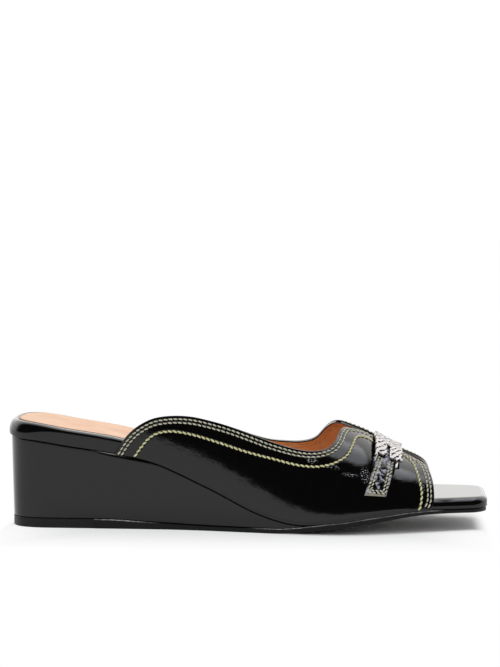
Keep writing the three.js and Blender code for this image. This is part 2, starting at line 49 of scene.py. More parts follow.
OUTER = -1
INNER = 1
SIDES = (OUTER, INNER)

# Footbed
SHOE_LENGTH = 240.0
HEEL_HALF = 28.0
WAIST_HALF = 29.0
BALL_HALF = 40.4
TOE_HALF = 23.4
HEEL_ROUND = 22.0
HEEL_POWER = 3.0
TOE_CORNER = 8.0

# Heights of the sole, and the roundings and the bed of its footbed
LIFT_THICK = 4.8
OUTSOLE_THICK = 2.5
WEDGE_RISE = 41.1
WEDGE_TAPER = 2.2
BOARD_THICK = 7.9
SHOULDER_WIDE = 3.7
SHOULDER_DEEP = 1.7
SOCK_THICK = 0.8
BED_DRAFT = 0.15
TOE_SPRING = 10.2
FIT_GAP = 0.3

# Where the finished sole departs a little from the solids: the seam higher over the wedge, the wedge's back further
# in, the band further out at the heel and the toe, the outsole lower at the toe, the sock proud of the band
SEAM_LIFT = 1.35
HEEL_IN = 0.5
BAND_OUT = 0.7
TOE_OUT = 0.5
TOE_DROP = 0.6
SOCK_PROUD = 0.2

# Places along the sole
BREAST_AT = 45.0
WEDGE_END = 149.0
SOCK_END = 196.0
OUTSOLE_MARGIN = 0.5

# Upper
INSTEP_HEIGHT = 53.6
UPPER_WALL = 1.8
UPPER_PROUD = 1.2
UPPER_BACK = 56.0
UPPER_FRONT = 214.0
BRIDGE_BACK = 187.8
BRIDGE_FRONT = 195.8

# Strap tabs: lows, tops and flares are climbs, and the lean is how far the sole's edge lies behind the crest
STRAP_AT = 191.0
STRAP_WIDTH = 10.4
STRAP_NECK = 8.3
STRAP_THICK = 1.3
STRAP_LEAN = 10.1
STRAP_BEND = 2.63
STRAP_LOW = 0.165
STRAP_TOP = 0.70
FLARE_LOW = 0.20
FLARE_HIGH = 0.535

# Buckle: lows, highs, flat, rise and middle are climbs
BUCKLE_LENGTH = 13.6
BUCKLE_THICK = 1.3
BUCKLE_SLOT = 1.5
BUCKLE_OFFSET = 0.4
SLOT_OFFSET = 0.5
RAIL_WIDTH = 1.1
RAIL_GAP = 0.45
RAIL_LOW = 0.43
PLATE_LOW = 0.535
PLATE_MIDDLE = 0.57
SLOT_HIGH = 0.73
PLATE_FLAT = 0.86
PLATE_RISE = 0.92


def columns(names, rows, *sizes):
    """A table as one array per named column. With sizes, the columns after the first are shares of them."""
    table = np.array(rows, dtype=float).T
    for k, size in enumerate(sizes, 1):
        table[k] *= size
    return dict(zip(names.split(), table))


# Half-widths of the sole's plan on both sides
PLAN = columns("at outer inner", [
    (0.00, 0.97 * HEEL_HALF, 0.97 * HEEL_HALF),
    (0.09, 1.01 * HEEL_HALF, 1.00 * HEEL_HALF),
    (0.18, 1.02 * HEEL_HALF, 0.98 * HEEL_HALF),
    (0.32, 1.01 * WAIST_HALF, 0.90 * WAIST_HALF),
    (0.40, 1.07 * WAIST_HALF, 0.91 * WAIST_HALF),
    (0.51, 0.88 * BALL_HALF, 0.735 * BALL_HALF),
    (0.61, 0.985 * BALL_HALF, 0.89 * BALL_HALF),
    (0.70, 1.00 * BALL_HALF, 1.00 * BALL_HALF),
    (0.79, 0.915 * BALL_HALF, 0.97 * BALL_HALF),
    (0.87, 1.34 * TOE_HALF, 1.43 * TOE_HALF),
    (0.93, 1.16 * TOE_HALF, 1.20 * TOE_HALF),
    (1.00, 1.00 * TOE_HALF, 1.00 * TOE_HALF),
])

# The sole: share of the toe spring, height of the tread's top, shares of the wedge's rise and the board's thickness
SOLE = columns("at spring tread rise board", [
    (0.000, 0.00, 1.00 * LIFT_THICK, 1.000, 1.00),
    (0.055, 0.00, 1.00 * LIFT_THICK, 0.973, 0.97),
    (0.137, 0.00, 1.00 * LIFT_THICK, 0.886, 1.00),
    (0.190, 0.00, 0.99 * LIFT_THICK, 0.832, 1.05),
    (0.230, 0.00, 0.96 * LIFT_THICK, 0.790, 1.07),
    (0.304, 0.00, 1.44 * OUTSOLE_THICK, 0.710, 1.02),
    (0.358, 0.00, 1.24 * OUTSOLE_THICK, 0.594, 0.96),
    (0.408, 0.00, 1.08 * OUTSOLE_THICK, 0.472, 0.90),
    (0.463, 0.00, 1.00 * OUTSOLE_THICK, 0.336, 0.83),
    (0.513, 0.00, 1.00 * OUTSOLE_THICK, 0.202, 0.76),
    (0.546, 0.00, 1.00 * OUTSOLE_THICK, 0.134, 0.72),
    (0.578, 0.01, 1.00 * OUTSOLE_THICK, 0.080, 0.69),
    (0.604, 0.06, 1.00 * OUTSOLE_THICK, 0.039, 0.67),
    (0.620, 0.10, 1.02 * OUTSOLE_THICK, 0.020, 0.66),
    (0.665, 0.20, 1.16 * OUTSOLE_THICK, 0.000, 0.66),
    (0.700, 0.27, 1.24 * OUTSOLE_THICK, 0.000, 0.66),
    (0.742, 0.42, 1.24 * OUTSOLE_THICK, 0.000, 0.66),
    (0.790, 0.61, 1.06 * OUTSOLE_THICK, 0.000, 0.66),
    (0.842, 0.81, 0.86 * OUTSOLE_THICK, 0.000, 0.66),
    (0.900, 0.93, 0.64 * OUTSOLE_THICK, 0.000, 0.66),
    (1.000, 1.00, 0.52 * OUTSOLE_THICK, 0.000, 0.66),
])

# Width and depth of the footbed's upper rounding
SHOULDER = columns("at wide deep", [
    (0.00, 1.00, 4.00),
    (0.04, 1.00, 3.60),
    (0.08, 1.00, 2.00),
    (0.13, 1.00, 1.10),
    (0.20, 1.00, 1.00),
    (0.62, 1.00, 1.00),
    (0.84, 1.15, 2.25),
    (0.98, 1.15, 2.30),
    (1.00, 0.80, 1.20),
], SHOULDER_WIDE, SHOULDER_DEEP)

# How far the seam over the wedge runs above the wedge's plain top
SEAM_RUN = columns("at lift", [
    (0.00, 0.20),
    (0.03, -0.60),
    (0.07, -0.50),
    (0.13, -0.20),
    (0.19, 0.20),
    (0.24, 0.50),
    (0.30, 0.80),
    (0.35, 1.00),
    (0.42, 0.90),
    (0.49, 0.35),
    (0.56, 0.00),
    (1.00, 0.00),
], SEAM_LIFT)

# The last: its crest as a share of the instep's height, and how far its top and its sides are filled out
LAST = columns("at crest broad full", [
    (0.233, 1.52, 0.36, 0.36),
    (0.333, 1.37, 0.35, 0.35),
    (0.417, 1.27, 0.33, 0.33),
    (0.500, 1.18, 0.26, 0.30),
    (0.583, 1.10, 0.14, 0.24),
    (0.625, 1.06, 0.05, 0.20),
    (0.667, 1.02, -0.05, 0.16),
    (0.692, 0.994, -0.09, 0.15),
    (0.721, 0.938, -0.10, 0.14),
    (0.758, 0.868, -0.10, 0.14),
    (0.771, 0.829, -0.10, 0.14),
    (0.783, 0.792, -0.10, 0.14),
    (0.796, 0.759, -0.10, 0.14),
    (0.810, 0.727, -0.10, 0.14),
    (0.825, 0.705, -0.10, 0.14),
    (0.850, 0.667, -0.10, 0.14),
    (0.875, 0.627, -0.10, 0.14),
    (0.900, 0.589, -0.10, 0.14),
])

# Free edges of the upper, as in the solid: at is a share of the stretch from UPPER_BACK to BRIDGE_BACK, and in the
# toe's tables of the stretch from BRIDGE_FRONT to UPPER_FRONT. Both sides share the rows at the bridge, and at the
# foot of the toe opening
REAR_BRIDGE = [(0.910, 0.877), (0.942, 0.898), (0.973, 0.905), (0.989, 0.928), (0.997, 0.962), (1.000, 1.000)]
TOE_BRIDGE = [(0.000, 1.000), (0.022, 0.955), (0.080, 0.905)]
TOE_FOOT = [(0.955, 0.060), (0.920, 0.012)]

REAR_EDGE_OUTER = columns("at climb", [
    (0.000, 0.012), (0.031, 0.090), (0.061, 0.152), (0.095, 0.209), (0.140, 0.273), (0.185, 0.322),
    (0.231, 0.362), (0.275, 0.391), (0.321, 0.410), (0.412, 0.427), (0.503, 0.427), (0.586, 0.419),
    (0.682, 0.420), (0.735, 0.430), (0.778, 0.455), (0.810, 0.498), (0.830, 0.573), (0.842, 0.683),
    (0.852, 0.760), (0.864, 0.806), (0.885, 0.839), *REAR_BRIDGE,
])

REAR_EDGE_INNER = columns("at climb", [
    (0.000, 0.012), (0.031, 0.056), (0.062, 0.096), (0.107, 0.148), (0.167, 0.206), (0.228, 0.257),
    (0.319, 0.297), (0.410, 0.312), (0.500, 0.316), (0.560, 0.322), (0.620, 0.343), (0.677, 0.370),
    (0.722, 0.408), (0.748, 0.455), (0.767, 0.522), (0.792, 0.630), (0.812, 0.715), (0.830, 0.776),
    (0.850, 0.815), (0.880, 0.850), *REAR_BRIDGE,
])

TOE_EDGE_OUTER = columns("at climb", [
    *TOE_BRIDGE, (0.155, 0.872), (0.324, 0.836), (0.516, 0.791), (0.665, 0.752), (0.762, 0.708), (0.842, 0.632),
    (0.915, 0.520), (0.975, 0.370), (0.998, 0.220), (0.990, 0.120), *TOE_FOOT,
])

TOE_EDGE_INNER = columns("at climb", [
    *TOE_BRIDGE, (0.155, 0.868), (0.324, 0.822), (0.510, 0.768), (0.650, 0.715), (0.745, 0.660), (0.825, 0.580),
    (0.900, 0.465), (0.960, 0.330), (0.990, 0.200), (0.985, 0.110), *TOE_FOOT,
])

# Single line of stitches on the outer side, behind and in front of the strap
LINE_REAR = columns("s climb", [
    (65.8, 0.015), (69.1, 0.078), (73.5, 0.150), (78.5, 0.202), (84.5, 0.239), (91.0, 0.261), (98.5, 0.275),
    (108.5, 0.284), (118.5, 0.291), (128.4, 0.301), (135.8, 0.309), (143.2, 0.312), (150.5, 0.317),
    (157.9, 0.332), (165.1, 0.370), (171.0, 0.452), (173.8, 0.576), (175.2, 0.674), (177.2, 0.728),
    (180.7, 0.750), (183.9, 0.750),
])
LINE_FRONT = columns("s climb", [
    (198.0, 0.780), (201.2, 0.715), (203.6, 0.635), (205.0, 0.526), (206.4, 0.395), (207.6, 0.228),
    (207.3, 0.096), (206.3, 0.012),
])

# Stitching: distances of the two rows from an edge, how far beside a row or line the leather is drawn down and how
# deep, and for each kind of stitch its pitch, length, thickness and slant in degrees
ROW_NEAR = 1.8
ROW_FAR = 3.45
ROW_DRAWN = 0.7
LINE_DRAWN = 1.0
DRAWN_DEEP = 0.16
ROW_STITCH = {"pitch": 2.45, "long": 2.3, "thick": 0.78, "slant": 10.0}
LINE_STITCH = {"pitch": 2.4, "long": 2.65, "thick": 1.02, "slant": 18.0}
LINING_STITCH = {"pitch": 2.55, "long": 1.8, "thick": 0.4, "slant": 4.0}
TAB_STITCH = {"pitch": 2.0, "long": 1.95, "thick": 0.76, "slant": 20.0}

# Step of the tables' even grid, points between two knots of a line, width of the tables' easing, and the last's girth
# for scaling climbs to millimetres
GRID_STEP = 0.25
SPAN_POINTS = 24
EASE = 2.2
GIRTH = 80.8

# A line moved inwards keeps this share of the distance from itself, and stays above this climb
INSET_KEEP = 0.93
INSET_LOW = 0.004

# Points closer together than this become one, and edges shorter than the second are dissolved
DOUBLES = 0.01
TINY = 0.0001


def through_rows(x, y, wanted):
    """Smooth curve through a table's rows that never overshoots them.

    Between two rows it is the cubic with the rows' heights and slopes. A row's slope is the weighted harmonic mean of
    the rises on both sides, or 0 where they turn.
    """
    step = np.diff(x)
    rise = np.diff(y) / step
    before = 2 * step[1:] + step[:-1]
    after = step[1:] + 2 * step[:-1]
    turns = rise[:-1] * rise[1:] <= 0
    low = np.where(turns, 1.0, rise[:-1])
    high = np.where(turns, 1.0, rise[1:])
    inner = np.where(turns, 0.0, (before + after) / (before / low + after / high))
    slope = np.concatenate([rise[:1], inner, rise[-1:]])
    i = np.clip(np.searchsorted(x, wanted) - 1, 0, len(x) - 2)
    t = np.clip((wanted - x[i]) / step[i], 0.0, 1.0)
    t2 = t * t
    t3 = t2 * t
    return ((2 * t3 - 3 * t2 + 1) * y[i] + (t3 - 2 * t2 + t) * step[i] * slope[i]
            + (3 * t2 - 2 * t3) * y[i + 1] + (t3 - t2) * step[i] * slope[i + 1])


def bell_average(value, width):
    """Values on an even grid averaged under a bell of a width in steps, with straight continuations past the ends."""
    reach = int(4 * width)
    count = np.arange(1, reach + 1)
    head = value[0] + (value[0] - value[1]) * count[::-1]
    tail = value[-1] + (value[-1] - value[-2]) * count
    bell = np.exp(-0.5 * (np.arange(-reach, reach + 1) / width) ** 2)
    return np.convolve(np.concatenate([head, value, tail]), bell / bell.sum(), "valid")


def along(table, column):
    """A table's column as a function of the distance from the heel, eased over a few millimetres."""
    even = np.arange(0.0, SHOE_LENGTH + GRID_STEP, GRID_STEP)
    value = through_rows(table["at"] * SHOE_LENGTH, table[column], even)
    eased = bell_average(value, EASE / GRID_STEP)
    return lambda s: np.interp(s, even, eased)


outer_half = along(PLAN, "outer")
inner_half = along(PLAN, "inner")
spring_share = along(SOLE, "spring")
tread_at = along(SOLE, "tread")
rise_share = along(SOLE, "rise")
board_share = along(SOLE, "board")
shoulder_wide = along(SHOULDER, "wide")
shoulder_deep = along(SHOULDER, "deep")
seam_lift = along(SEAM_RUN, "lift")
crest_share = along(LAST, "crest")
broad_at = along(LAST, "broad")
full_at = along(LAST, "full")


# Measures of the sole at distances from the heel

def half_width(side, s):
    return outer_half(s) if side == OUTER else inner_half(s)


def under_at(s):
    return np.maximum(TOE_SPRING * spring_share(s), 0.0)


def tread_top(s):
    return under_at(s) + tread_at(s)


def seat_at(s):
    return tread_top(s) + WEDGE_RISE * np.maximum(rise_share(s), 0.0)


def board_base(s):
    return seat_at(s) + FIT_GAP


def board_top(s):
    return board_base(s) + BOARD_THICK * board_share(s)


def sock_base(s):
    return board_top(s) - SOCK_THICK


def bed_edge(s):
    return shoulder_wide(s) + BED_DRAFT


def taper_at(s):
    return WEDGE_TAPER * np.maximum(rise_share(s), 0.0)


def last_point(side, s, climb):
    """Points of the last: a half ellipse from the sole's edge to the crest.

    Its top is broadened by a share of the cosine squared of the angle from the crest, and its sides are filled out by
    a share of the sine squared.
    """
    angle = (1 - climb) * np.pi / 2
    reach = half_width(side, s) + UPPER_PROUD
    feather = seat_at(s) + FIT_GAP
    arch = INSTEP_HEIGHT * crest_share(s) - feather
    out = reach * np.sin(angle) * (1 + broad_at(s) * np.cos(angle) ** 2)
    up = arch * np.cos(angle) * (1 + full_at(s) * np.sin(angle) ** 2)
    return np.stack([s - SHOE_LENGTH / 2, side * out, feather + up], -1)


def unit(vectors):
    return vectors / np.maximum(np.linalg.norm(vectors, axis=-1, keepdims=True), 1e-12)


def last_slopes(side, s, climb):
    """How the last's points move per millimetre along the shoe and per unit of climb, and the outward normal."""
    ds = 0.5
    dc = 0.002
    by_s = (last_point(side, s + ds, climb) - last_point(side, s - ds, climb)) / (2 * ds)
    by_climb = (last_point(side, s, climb + dc) - last_point(side, s, climb - dc)) / (2 * dc)
    normal = unit(np.cross(by_s, by_climb)) * -side
    return by_s, by_climb, normal


def off_last(side, s, climb, height):
    """Points at a height off the last, along its normal."""
    normal = last_slopes(side, s, climb)[2]
    return last_point(side, s, climb) + normal * np.asarray(height)[..., None]


def run_along(points):
    """Distance run along a line up to each of its points."""
    return np.concatenate([[0.0], np.cumsum(np.linalg.norm(np.diff(points, axis=0), axis=1))])


def even_points(points, count):
    """A line's points spaced evenly along it."""
    run = run_along(points)
    wanted = np.linspace(0.0, run[-1], count)
    return np.stack([np.interp(wanted, run, column) for column in points.T], -1)


def spline_line(knots):
    """A line through knots whose direction at each one is that from its neighbour before to the one after."""
    ends = np.vstack([knots[:1], knots, knots[-1:]])
    t = np.linspace(0.0, 1.0, SPAN_POINTS, endpoint=False)[None, :, None]
    p0, p1, p2, p3 = (ends[k:len(ends) - 3 + k, None, :] for k in range(4))
    v0 = (p2 - p0) / 2
    v1 = (p3 - p1) / 2
    spans = (2 * p1 - 2 * p2 + v0 + v1) * t ** 3 + (3 * p2 - 3 * p1 - 2 * v0 - v1) * t ** 2 + v0 * t + p1
    return np.vstack([spans.reshape(-1, knots.shape[1]), knots[-1:]])


def edge_line(table, start, end, count):
    """A free edge of the upper as evenly spaced distances from the heel and climbs."""
    knots = np.stack([start + (end - start) * table["at"], table["climb"] * GIRTH], -1)
    line = even_points(spline_line(knots), count)
    return line[:, 0], line[:, 1] / GIRTH


REAR_EDGES = {OUTER: REAR_EDGE_OUTER, INNER: REAR_EDGE_INNER}
TOE_EDGES = {OUTER: TOE_EDGE_OUTER, INNER: TOE_EDGE_INNER}


def rear_edge(side, count):
    """The edge from the heel end of the upper round the throat to the bridge."""
    return edge_line(REAR_EDGES[side], UPPER_BACK, BRIDGE_BACK, count)


def toe_edge(side, count):
    """The edge from the bridge round the toe opening to the sole."""
    return edge_line(TOE_EDGES[side], BRIDGE_FRONT, UPPER_FRONT, count)


def inset_line(side, s, climb, distance):
    """A line on the last moved inwards over its surface by a distance.

    The step is worked out from the surface's own slopes, and points that came closer to another stretch of the line
    than the distance are dropped.
    """
    by_s, by_climb, normal = last_slopes(side, s, climb)
    here = last_point(side, s, climb)
    forward = unit(np.gradient(here, axis=0))
    inward = np.cross(forward, normal) * -side
    a = (by_s * by_s).sum(-1)
    b = (by_s * by_climb).sum(-1)
    c = (by_climb * by_climb).sum(-1)
    p = (by_s * inward).sum(-1) * distance
    q = (by_climb * inward).sum(-1) * distance
    det = a * c - b * b
    moved_s = s + (c * p - b * q) / det
    moved_climb = climb + (a * q - b * p) / det
    there = last_point(side, moved_s, moved_climb)
    gap = np.linalg.norm(there[:, None] - here[None], axis=-1).min(1)
    keep = (gap > INSET_KEEP * distance) & (moved_climb > INSET_LOW) & (moved_climb < 1.0)
    return moved_s[keep], moved_climb[keep]


class Surface:
    """Grids of points gathered into one mesh, with a material number and a UV place in millimetres for each point."""

    def __init__(self):
        self.points = []
        self.uvs = []
        self.quads = []
        self.numbers = []
        self.facts = {}
        self.count = 0

    def add(self, grid, uv=None, closed=False, number=0, flip=False, **facts):
        """Adds a grid of points, shaped rows by columns by 3, with its material's number.

        The last column of a closed grid meets the first. Each fact is a value per point, kept under its name.
        """
        rows, cols = grid.shape[:2]
        index = np.arange(rows * cols).reshape(rows, cols) + self.count
        if closed:
            index = np.hstack([index, index[:, :1]])
        corners = [index[:-1, :-1], index[1:, :-1], index[1:, 1:], index[:-1, 1:]]
        if flip:
            corners.reverse()
        quads = np.stack(corners, -1).reshape(-1, 4)
        self.points.append(grid.reshape(-1, 3))
        self.uvs.append(np.zeros((rows * cols, 2)) if uv is None else uv.reshape(-1, 2))
        self.quads.append(quads)
        self.numbers.append(np.full(len(quads), number))
        for name, value in facts.items():
            self.facts.setdefault(name, []).append((self.count, np.broadcast_to(value, (rows, cols)).ravel()))
        self.count += rows * cols

    def build(self, name, materials, merge=DOUBLES):
        """Makes the object: points in metres, doubles merged, faces shaded smooth."""
        points = np.vstack(self.points) * MM
        quads = np.vstack(self.quads).astype(np.int32)
        mesh = bpy.data.meshes.new(name)
        mesh.vertices.add(len(points))
        mesh.vertices.foreach_set("co", points.astype(np.float32).ravel())
        mesh.loops.add(quads.size)
        mesh.loops.foreach_set("vertex_index", quads.ravel())
        mesh.polygons.add(len(quads))
        mesh.polygons.foreach_set("loop_start", np.arange(0, quads.size, 4, dtype=np.int32))
        mesh.polygons.foreach_set("material_index", np.concatenate(self.numbers).astype(np.int32))
        mesh.polygons.foreach_set("use_smooth", np.ones(len(quads), dtype=bool))
        layer = mesh.uv_layers.new(name="form")
        layer.data.foreach_set("uv", np.vstack(self.uvs)[quads.ravel()].astype(np.float32).ravel())
        for fact, parts in self.facts.items():
            values = np.zeros(self.count, dtype=np.float32)
            for start, part in parts:
                values[start:start + len(part)] = part
            mesh.attributes.new(fact, "FLOAT", "POINT").data.foreach_set("value", values)
        mesh.update()
        mesh.validate()
        bm = bmesh.new()
        bm.from_mesh(mesh)
        bmesh.ops.remove_doubles(bm, verts=bm.verts, dist=merge * MM)
        bmesh.ops.dissolve_degenerate(bm, edges=bm.edges, dist=TINY * MM)
        bm.to_mesh(mesh)
        bm.free()
        for finish in materials:
            mesh.materials.append(finish)
        piece = bpy.data.objects.new(name, mesh)
        bpy.context.scene.collection.objects.link(piece)
        return piece


def place(piece, slot, *nodes):
    """Fixes a piece to the shoe, and says which solids it stands for, if any. Its slot is not used."""
    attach(piece, "root")
    if nodes:
        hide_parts(*nodes)
    return piece


# Materials

# How much brighter than its own colour a matt surface looks in the studio light
STUDIO_LIGHT = 1.3

# Patent leather: its index of refraction, and how much rougher it is where it is painted pale as a highlight
PATENT_IOR = 1.45
HIGHLIGHT_ROUGHER = 0.3

# Painted highlight along the outsole's upper edge, in metres along the shoe: a stretch at the heel and one from the
# arch on
EDGE_GLINT_REAR = -0.062
EDGE_GLINT_FRONT = 0.0
EDGE_GLINT_REACH = 0.022
EDGE_GLINT_END = 0.09
EDGE_GLINT_STOP = 0.01

# Painted shade along the lining's edge, drawn as the patent folded over it: full within the first distance, gone at
# the second
EDGE_SHADE_FULL = 0.6
EDGE_SHADE_GONE = 0.8

# Strap patent: depth of its crumpling, its pale low end, raw leather with a painted highlight, full within the first
# distance and gone at the second, and how pale its cut sides are
CRUMPLE_DEEP = 1.2
PALE_END_FULL = 1.0
PALE_END_GONE = 1.5
CUT_PALE = 0.12


class Wire:
    """A node's output with Python's operators: each one adds its Math node."""

    def __init__(self, look, socket):
        self.look = look
        self.socket = socket

    def __add__(self, other):
        return self.look.math("ADD", self, other)

    def __radd__(self, other):
        return self.look.math("ADD", other, self)

    def __sub__(self, other):
        return self.look.math("SUBTRACT", self, other)

    def __rsub__(self, other):
        return self.look.math("SUBTRACT", other, self)

    def __mul__(self, other):
        return self.look.math("MULTIPLY", self, other)

    def __rmul__(self, other):
        return self.look.math("MULTIPLY", other, self)


class Look:
    """The nodes of a material or of the world, written as expressions."""

    def __init__(self, tree):
        self.tree = tree
        tree.nodes.clear()

    def node(self, kind, settings=None, output=0, **sockets):
        """Adds a node with its settings and gives one of its outputs.

        Sockets go by name, with _ for a space, or by number, as n0 or n1.
        """
        node = self.tree.nodes.new("ShaderNode" + kind)
        for name, value in (settings or {}).items():
            setattr(node, name, value)
        for name, value in sockets.items():
            is_number = name[0] == "n" and name[1:].isdigit()
            socket = node.inputs[int(name[1:])] if is_number else node.inputs[name.replace("_", " ")]
            if isinstance(value, Wire):
                self.tree.links.new(value.socket, socket)
            else:
                socket.default_value = value
        return Wire(self, node.outputs[output]) if node.outputs else None

    def math(self, operation, *values):
        sockets = {f"n{k}": value for k, value in enumerate(values)}
        return self.node("Math", {"operation": operation}, **sockets)

    def step(self, value, low, high):
        """0 below low, 1 above high, and a smooth rise between."""
        span = {"interpolation_type": "SMOOTHSTEP", "clamp": True}
        return self.node("MapRange", span, Value=value, From_Min=low, From_Max=high)

    def band(self, value, centre, width):
        """1 at a centre and 0 past a width on both sides of it."""
        away = self.math("ABSOLUTE", value - centre)
        return 1 - self.step(away, 0.0, width)

    def crest(self, share):
        """1 halfway through a share from 0 to 1, and 0 at both its ends."""
        return 4 * share * (1 - share)

    def fact(self, name):
        return self.node("Attribute", {"attribute_name": name}, output="Fac")

    def form(self):
        return self.node("UVMap", {"uv_map": "form"})

    def body(self):
        return self.node("TexCoord", output="Object")

    def part(self, vector, axis):
        """A vector's x, y or z, as axis 0, 1 or 2."""
        return self.node("SeparateXYZ", output=axis, Vector=vector)

    def stretched(self, vector, scale):
        return self.node("Mapping", Vector=vector, Scale=scale)

    def noise(self, vector, scale, detail=2.0, roughness=0.5, distortion=0.0):
        return self.node("TexNoise", Vector=vector, Scale=scale, Detail=detail, Roughness=roughness,
                         Distortion=distortion)

    def mix(self, factor, a, b):
        """A colour between two, by a factor."""
        sockets = {"n0": factor, "n6": a, "n7": b}
        return self.node("Mix", {"data_type": "RGBA"}, output=2, **sockets)

    def bump(self, height, deep, normal=None):
        """A surface raised by a height from 0 to 1, which stands for a depth in millimetres."""
        sockets = {"Height": height, "Distance": deep * MM}
        if normal is not None:
            sockets["Normal"] = normal
        return self.node("Bump", **sockets)


def rgb(red, green, blue):
    """A colour as seen on screen under the studio light, from 0 to 255, as the linear colour that nodes take.

    The screen's curve is straight near black and a power above it.
    """
    seen = np.array([red, green, blue]) / 255
    linear = np.where(seen <= 0.04045, seen / 12.92, ((seen + 0.055) / 1.055) ** 2.4)
    return (*(linear / STUDIO_LIGHT).tolist(), 1.0)


def material(name, shade):
    """A new material: shade takes its Look and gives the Principled node's sockets by name."""
    made = bpy.data.materials.new(name)
    made.use_nodes = True
    look = Look(made.node_tree)
    surface = look.node("BsdfPrincipled", **shade(look))
    look.node("OutputMaterial", Surface=surface)
    return made


def stitched_in(look, normal):
    """Leather drawn down under the two rows along the edges and under the single line."""
    edge = look.fact("edge_mm")
    line = look.fact("line_mm")
    rows = look.band(edge, ROW_NEAR, ROW_DRAWN) + look.band(edge, ROW_FAR, ROW_DRAWN)
    return look.bump(1 - (rows + look.band(line, 0.0, LINE_DRAWN)), DRAWN_DEEP, normal)


# Patches of the upper painted with fine white glints, where the creased patent catches the light: centre and reach as
# distance from the heel and girth
GLINT_PATCHES = [
    ((154.0, 29.5), (3.2, 2.4)),
    ((164.0, 27.3), (4.2, 1.7)),
    ((172.5, 24.6), (4.8, 1.3)),
    ((180.0, 25.5), (2.8, 6.0)),
    ((208.6, 22.0), (0.8, 5.5)),
]


def painted_glints(look, form):
    """Share of painted white glint in the patches: a fine noise above a level, inside each patch's ellipse."""
    spots = look.step(look.noise(form, scale=1.5, detail=3.0, roughness=0.6), 0.57, 0.61)
    within = 0.0
    for (s, girth), (along_s, along_girth) in GLINT_PATCHES:
        spread = look.stretched(form, (1 / along_s, 1 / along_girth, 1.0))
        centre = (s / along_s, girth / along_girth, 0.0)
        away = look.node("VectorMath", {"operation": "DISTANCE"}, output="Value", n0=spread, n1=centre)
        within = within + (1 - look.step(away, 0.5, 1.0))
    return spots * within


def upper_patent(look):
    """Black patent: a soft pebble under the gloss, drawn in along the stitches, with painted white glints at the flex.
    """
    form = look.form()
    swell = look.noise(form, scale=0.22, detail=2.0)
    pebble = look.noise(form, scale=0.9, detail=3.0, roughness=0.6)
    smear = look.noise(form, scale=0.35, detail=3.0)
    # Painted highlight: white glints in the base colour where the creased patent catches the light
    glints = painted_glints(look, form)
    normal = look.bump(swell, deep=0.05)
    normal = look.bump(pebble, deep=0.012, normal=normal)
    normal = look.bump(glints, deep=0.08, normal=normal)
    black = look.mix(smear, rgb(6, 5, 5), rgb(13, 11, 11))
    return {
        "Base_Color": look.mix(glints, black, rgb(232, 234, 244)),
        "Roughness": 0.05 + 0.06 * smear + HIGHLIGHT_ROUGHER * glints,
        "IOR": PATENT_IOR,
        "Normal": stitched_in(look, normal),
    }


def tan_lining(look):
    """Smooth tan lining leather, darker in patches, with painted shade along its edge, drawn as the black patent
    folded over it.
    """
    form = look.form()
    patch = look.noise(form, scale=0.08, detail=3.0)
    grain = look.noise(form, scale=2.2, detail=4.0, roughness=0.6)
    # Painted shade: the lining goes near black along its edge
    edge_shade = 1 - look.step(look.fact("edge_mm"), EDGE_SHADE_FULL, EDGE_SHADE_GONE)
    tan = look.mix(look.step(patch + 0.3 * grain, 0.4, 0.9), rgb(240, 158, 92), rgb(252, 196, 142))
    return {
        "Base_Color": look.mix(edge_shade, tan, rgb(16, 13, 12)),
        "Roughness": 0.42 + 0.15 * grain,
        "Specular_IOR_Level": 0.4,
        "Normal": look.bump(grain, deep=0.05),
    }


def sole_patent(pale, at, reach, level, narrow):
    """Black patent stretched over the sole: nearly flat, with faint long waves.

    A painted highlight: a line on the upper rounding is painted pale by a share, within a reach of a place along
    the shoe. Its level on the rounding and its width there are shares too.
    """
    def shade(look):
        body = look.body()
        x = look.part(body, 0)
        # Painted highlight: a pale line on the upper rounding near one place along the shoe
        painted_highlight = look.band(look.fact("rim"), level, narrow) * look.band(x, at, reach) * pale
        long_waves = look.noise(look.stretched(body, (0.4, 1.0, 1.0)), scale=60.0, detail=2.0)
        pebble = look.noise(body, scale=900.0, detail=2.0)
        smear = look.noise(body, scale=180.0, detail=3.0)
        normal = look.bump(long_waves, deep=0.06)
        black = look.mix(smear, rgb(7, 7, 7), rgb(12, 11, 11))
        return {
            "Base_Color": look.mix(painted_highlight, black, rgb(196, 196, 192)),
            "Roughness": 0.09 + 0.06 * smear + HIGHLIGHT_ROUGHER * painted_highlight,
            "IOR": PATENT_IOR,
            "Normal": look.bump(pebble, deep=0.006, normal=normal),
        }
    return shade


def sole_rubber(dark, light, pale):
    """Black rubber with a satin moulded skin, a little scuffed, its upper edge painted pale by a share as a highlight.
    """
    def shade(look):
        body = look.body()
        grain = look.noise(body, scale=2600.0, detail=3.0)
        scuff = look.noise(look.stretched(body, (0.15, 1.0, 1.0)), scale=700.0, detail=3.0, roughness=0.7)
        worn = look.step(scuff, 0.5, 0.8)
        x = look.part(body, 0)
        dashes = look.noise(look.stretched(body, (0.25, 1.0, 1.0)), scale=1800.0, detail=2.0)
        broken = 0.45 + 0.55 * look.step(dashes, 0.45, 0.6)
        starts = look.step(x, EDGE_GLINT_FRONT, EDGE_GLINT_FRONT + EDGE_GLINT_REACH)
        ends = look.step(x, EDGE_GLINT_END, EDGE_GLINT_END + EDGE_GLINT_STOP)
        stretches = starts * (1 - ends) + look.band(x, EDGE_GLINT_REAR, EDGE_GLINT_REACH)
        # Painted highlight: a broken pale line along the upper rounding
        edge_glint = look.crest(look.fact("rim")) * broken * stretches * pale
        return {
            "Base_Color": look.mix(edge_glint, look.mix(worn, dark, light), rgb(225, 225, 226)),
            "Roughness": 0.38 + 0.2 * grain + 0.1 * worn,
            "Specular_IOR_Level": 0.3,
            "Normal": look.bump(grain, deep=0.02),
        }
    return shade


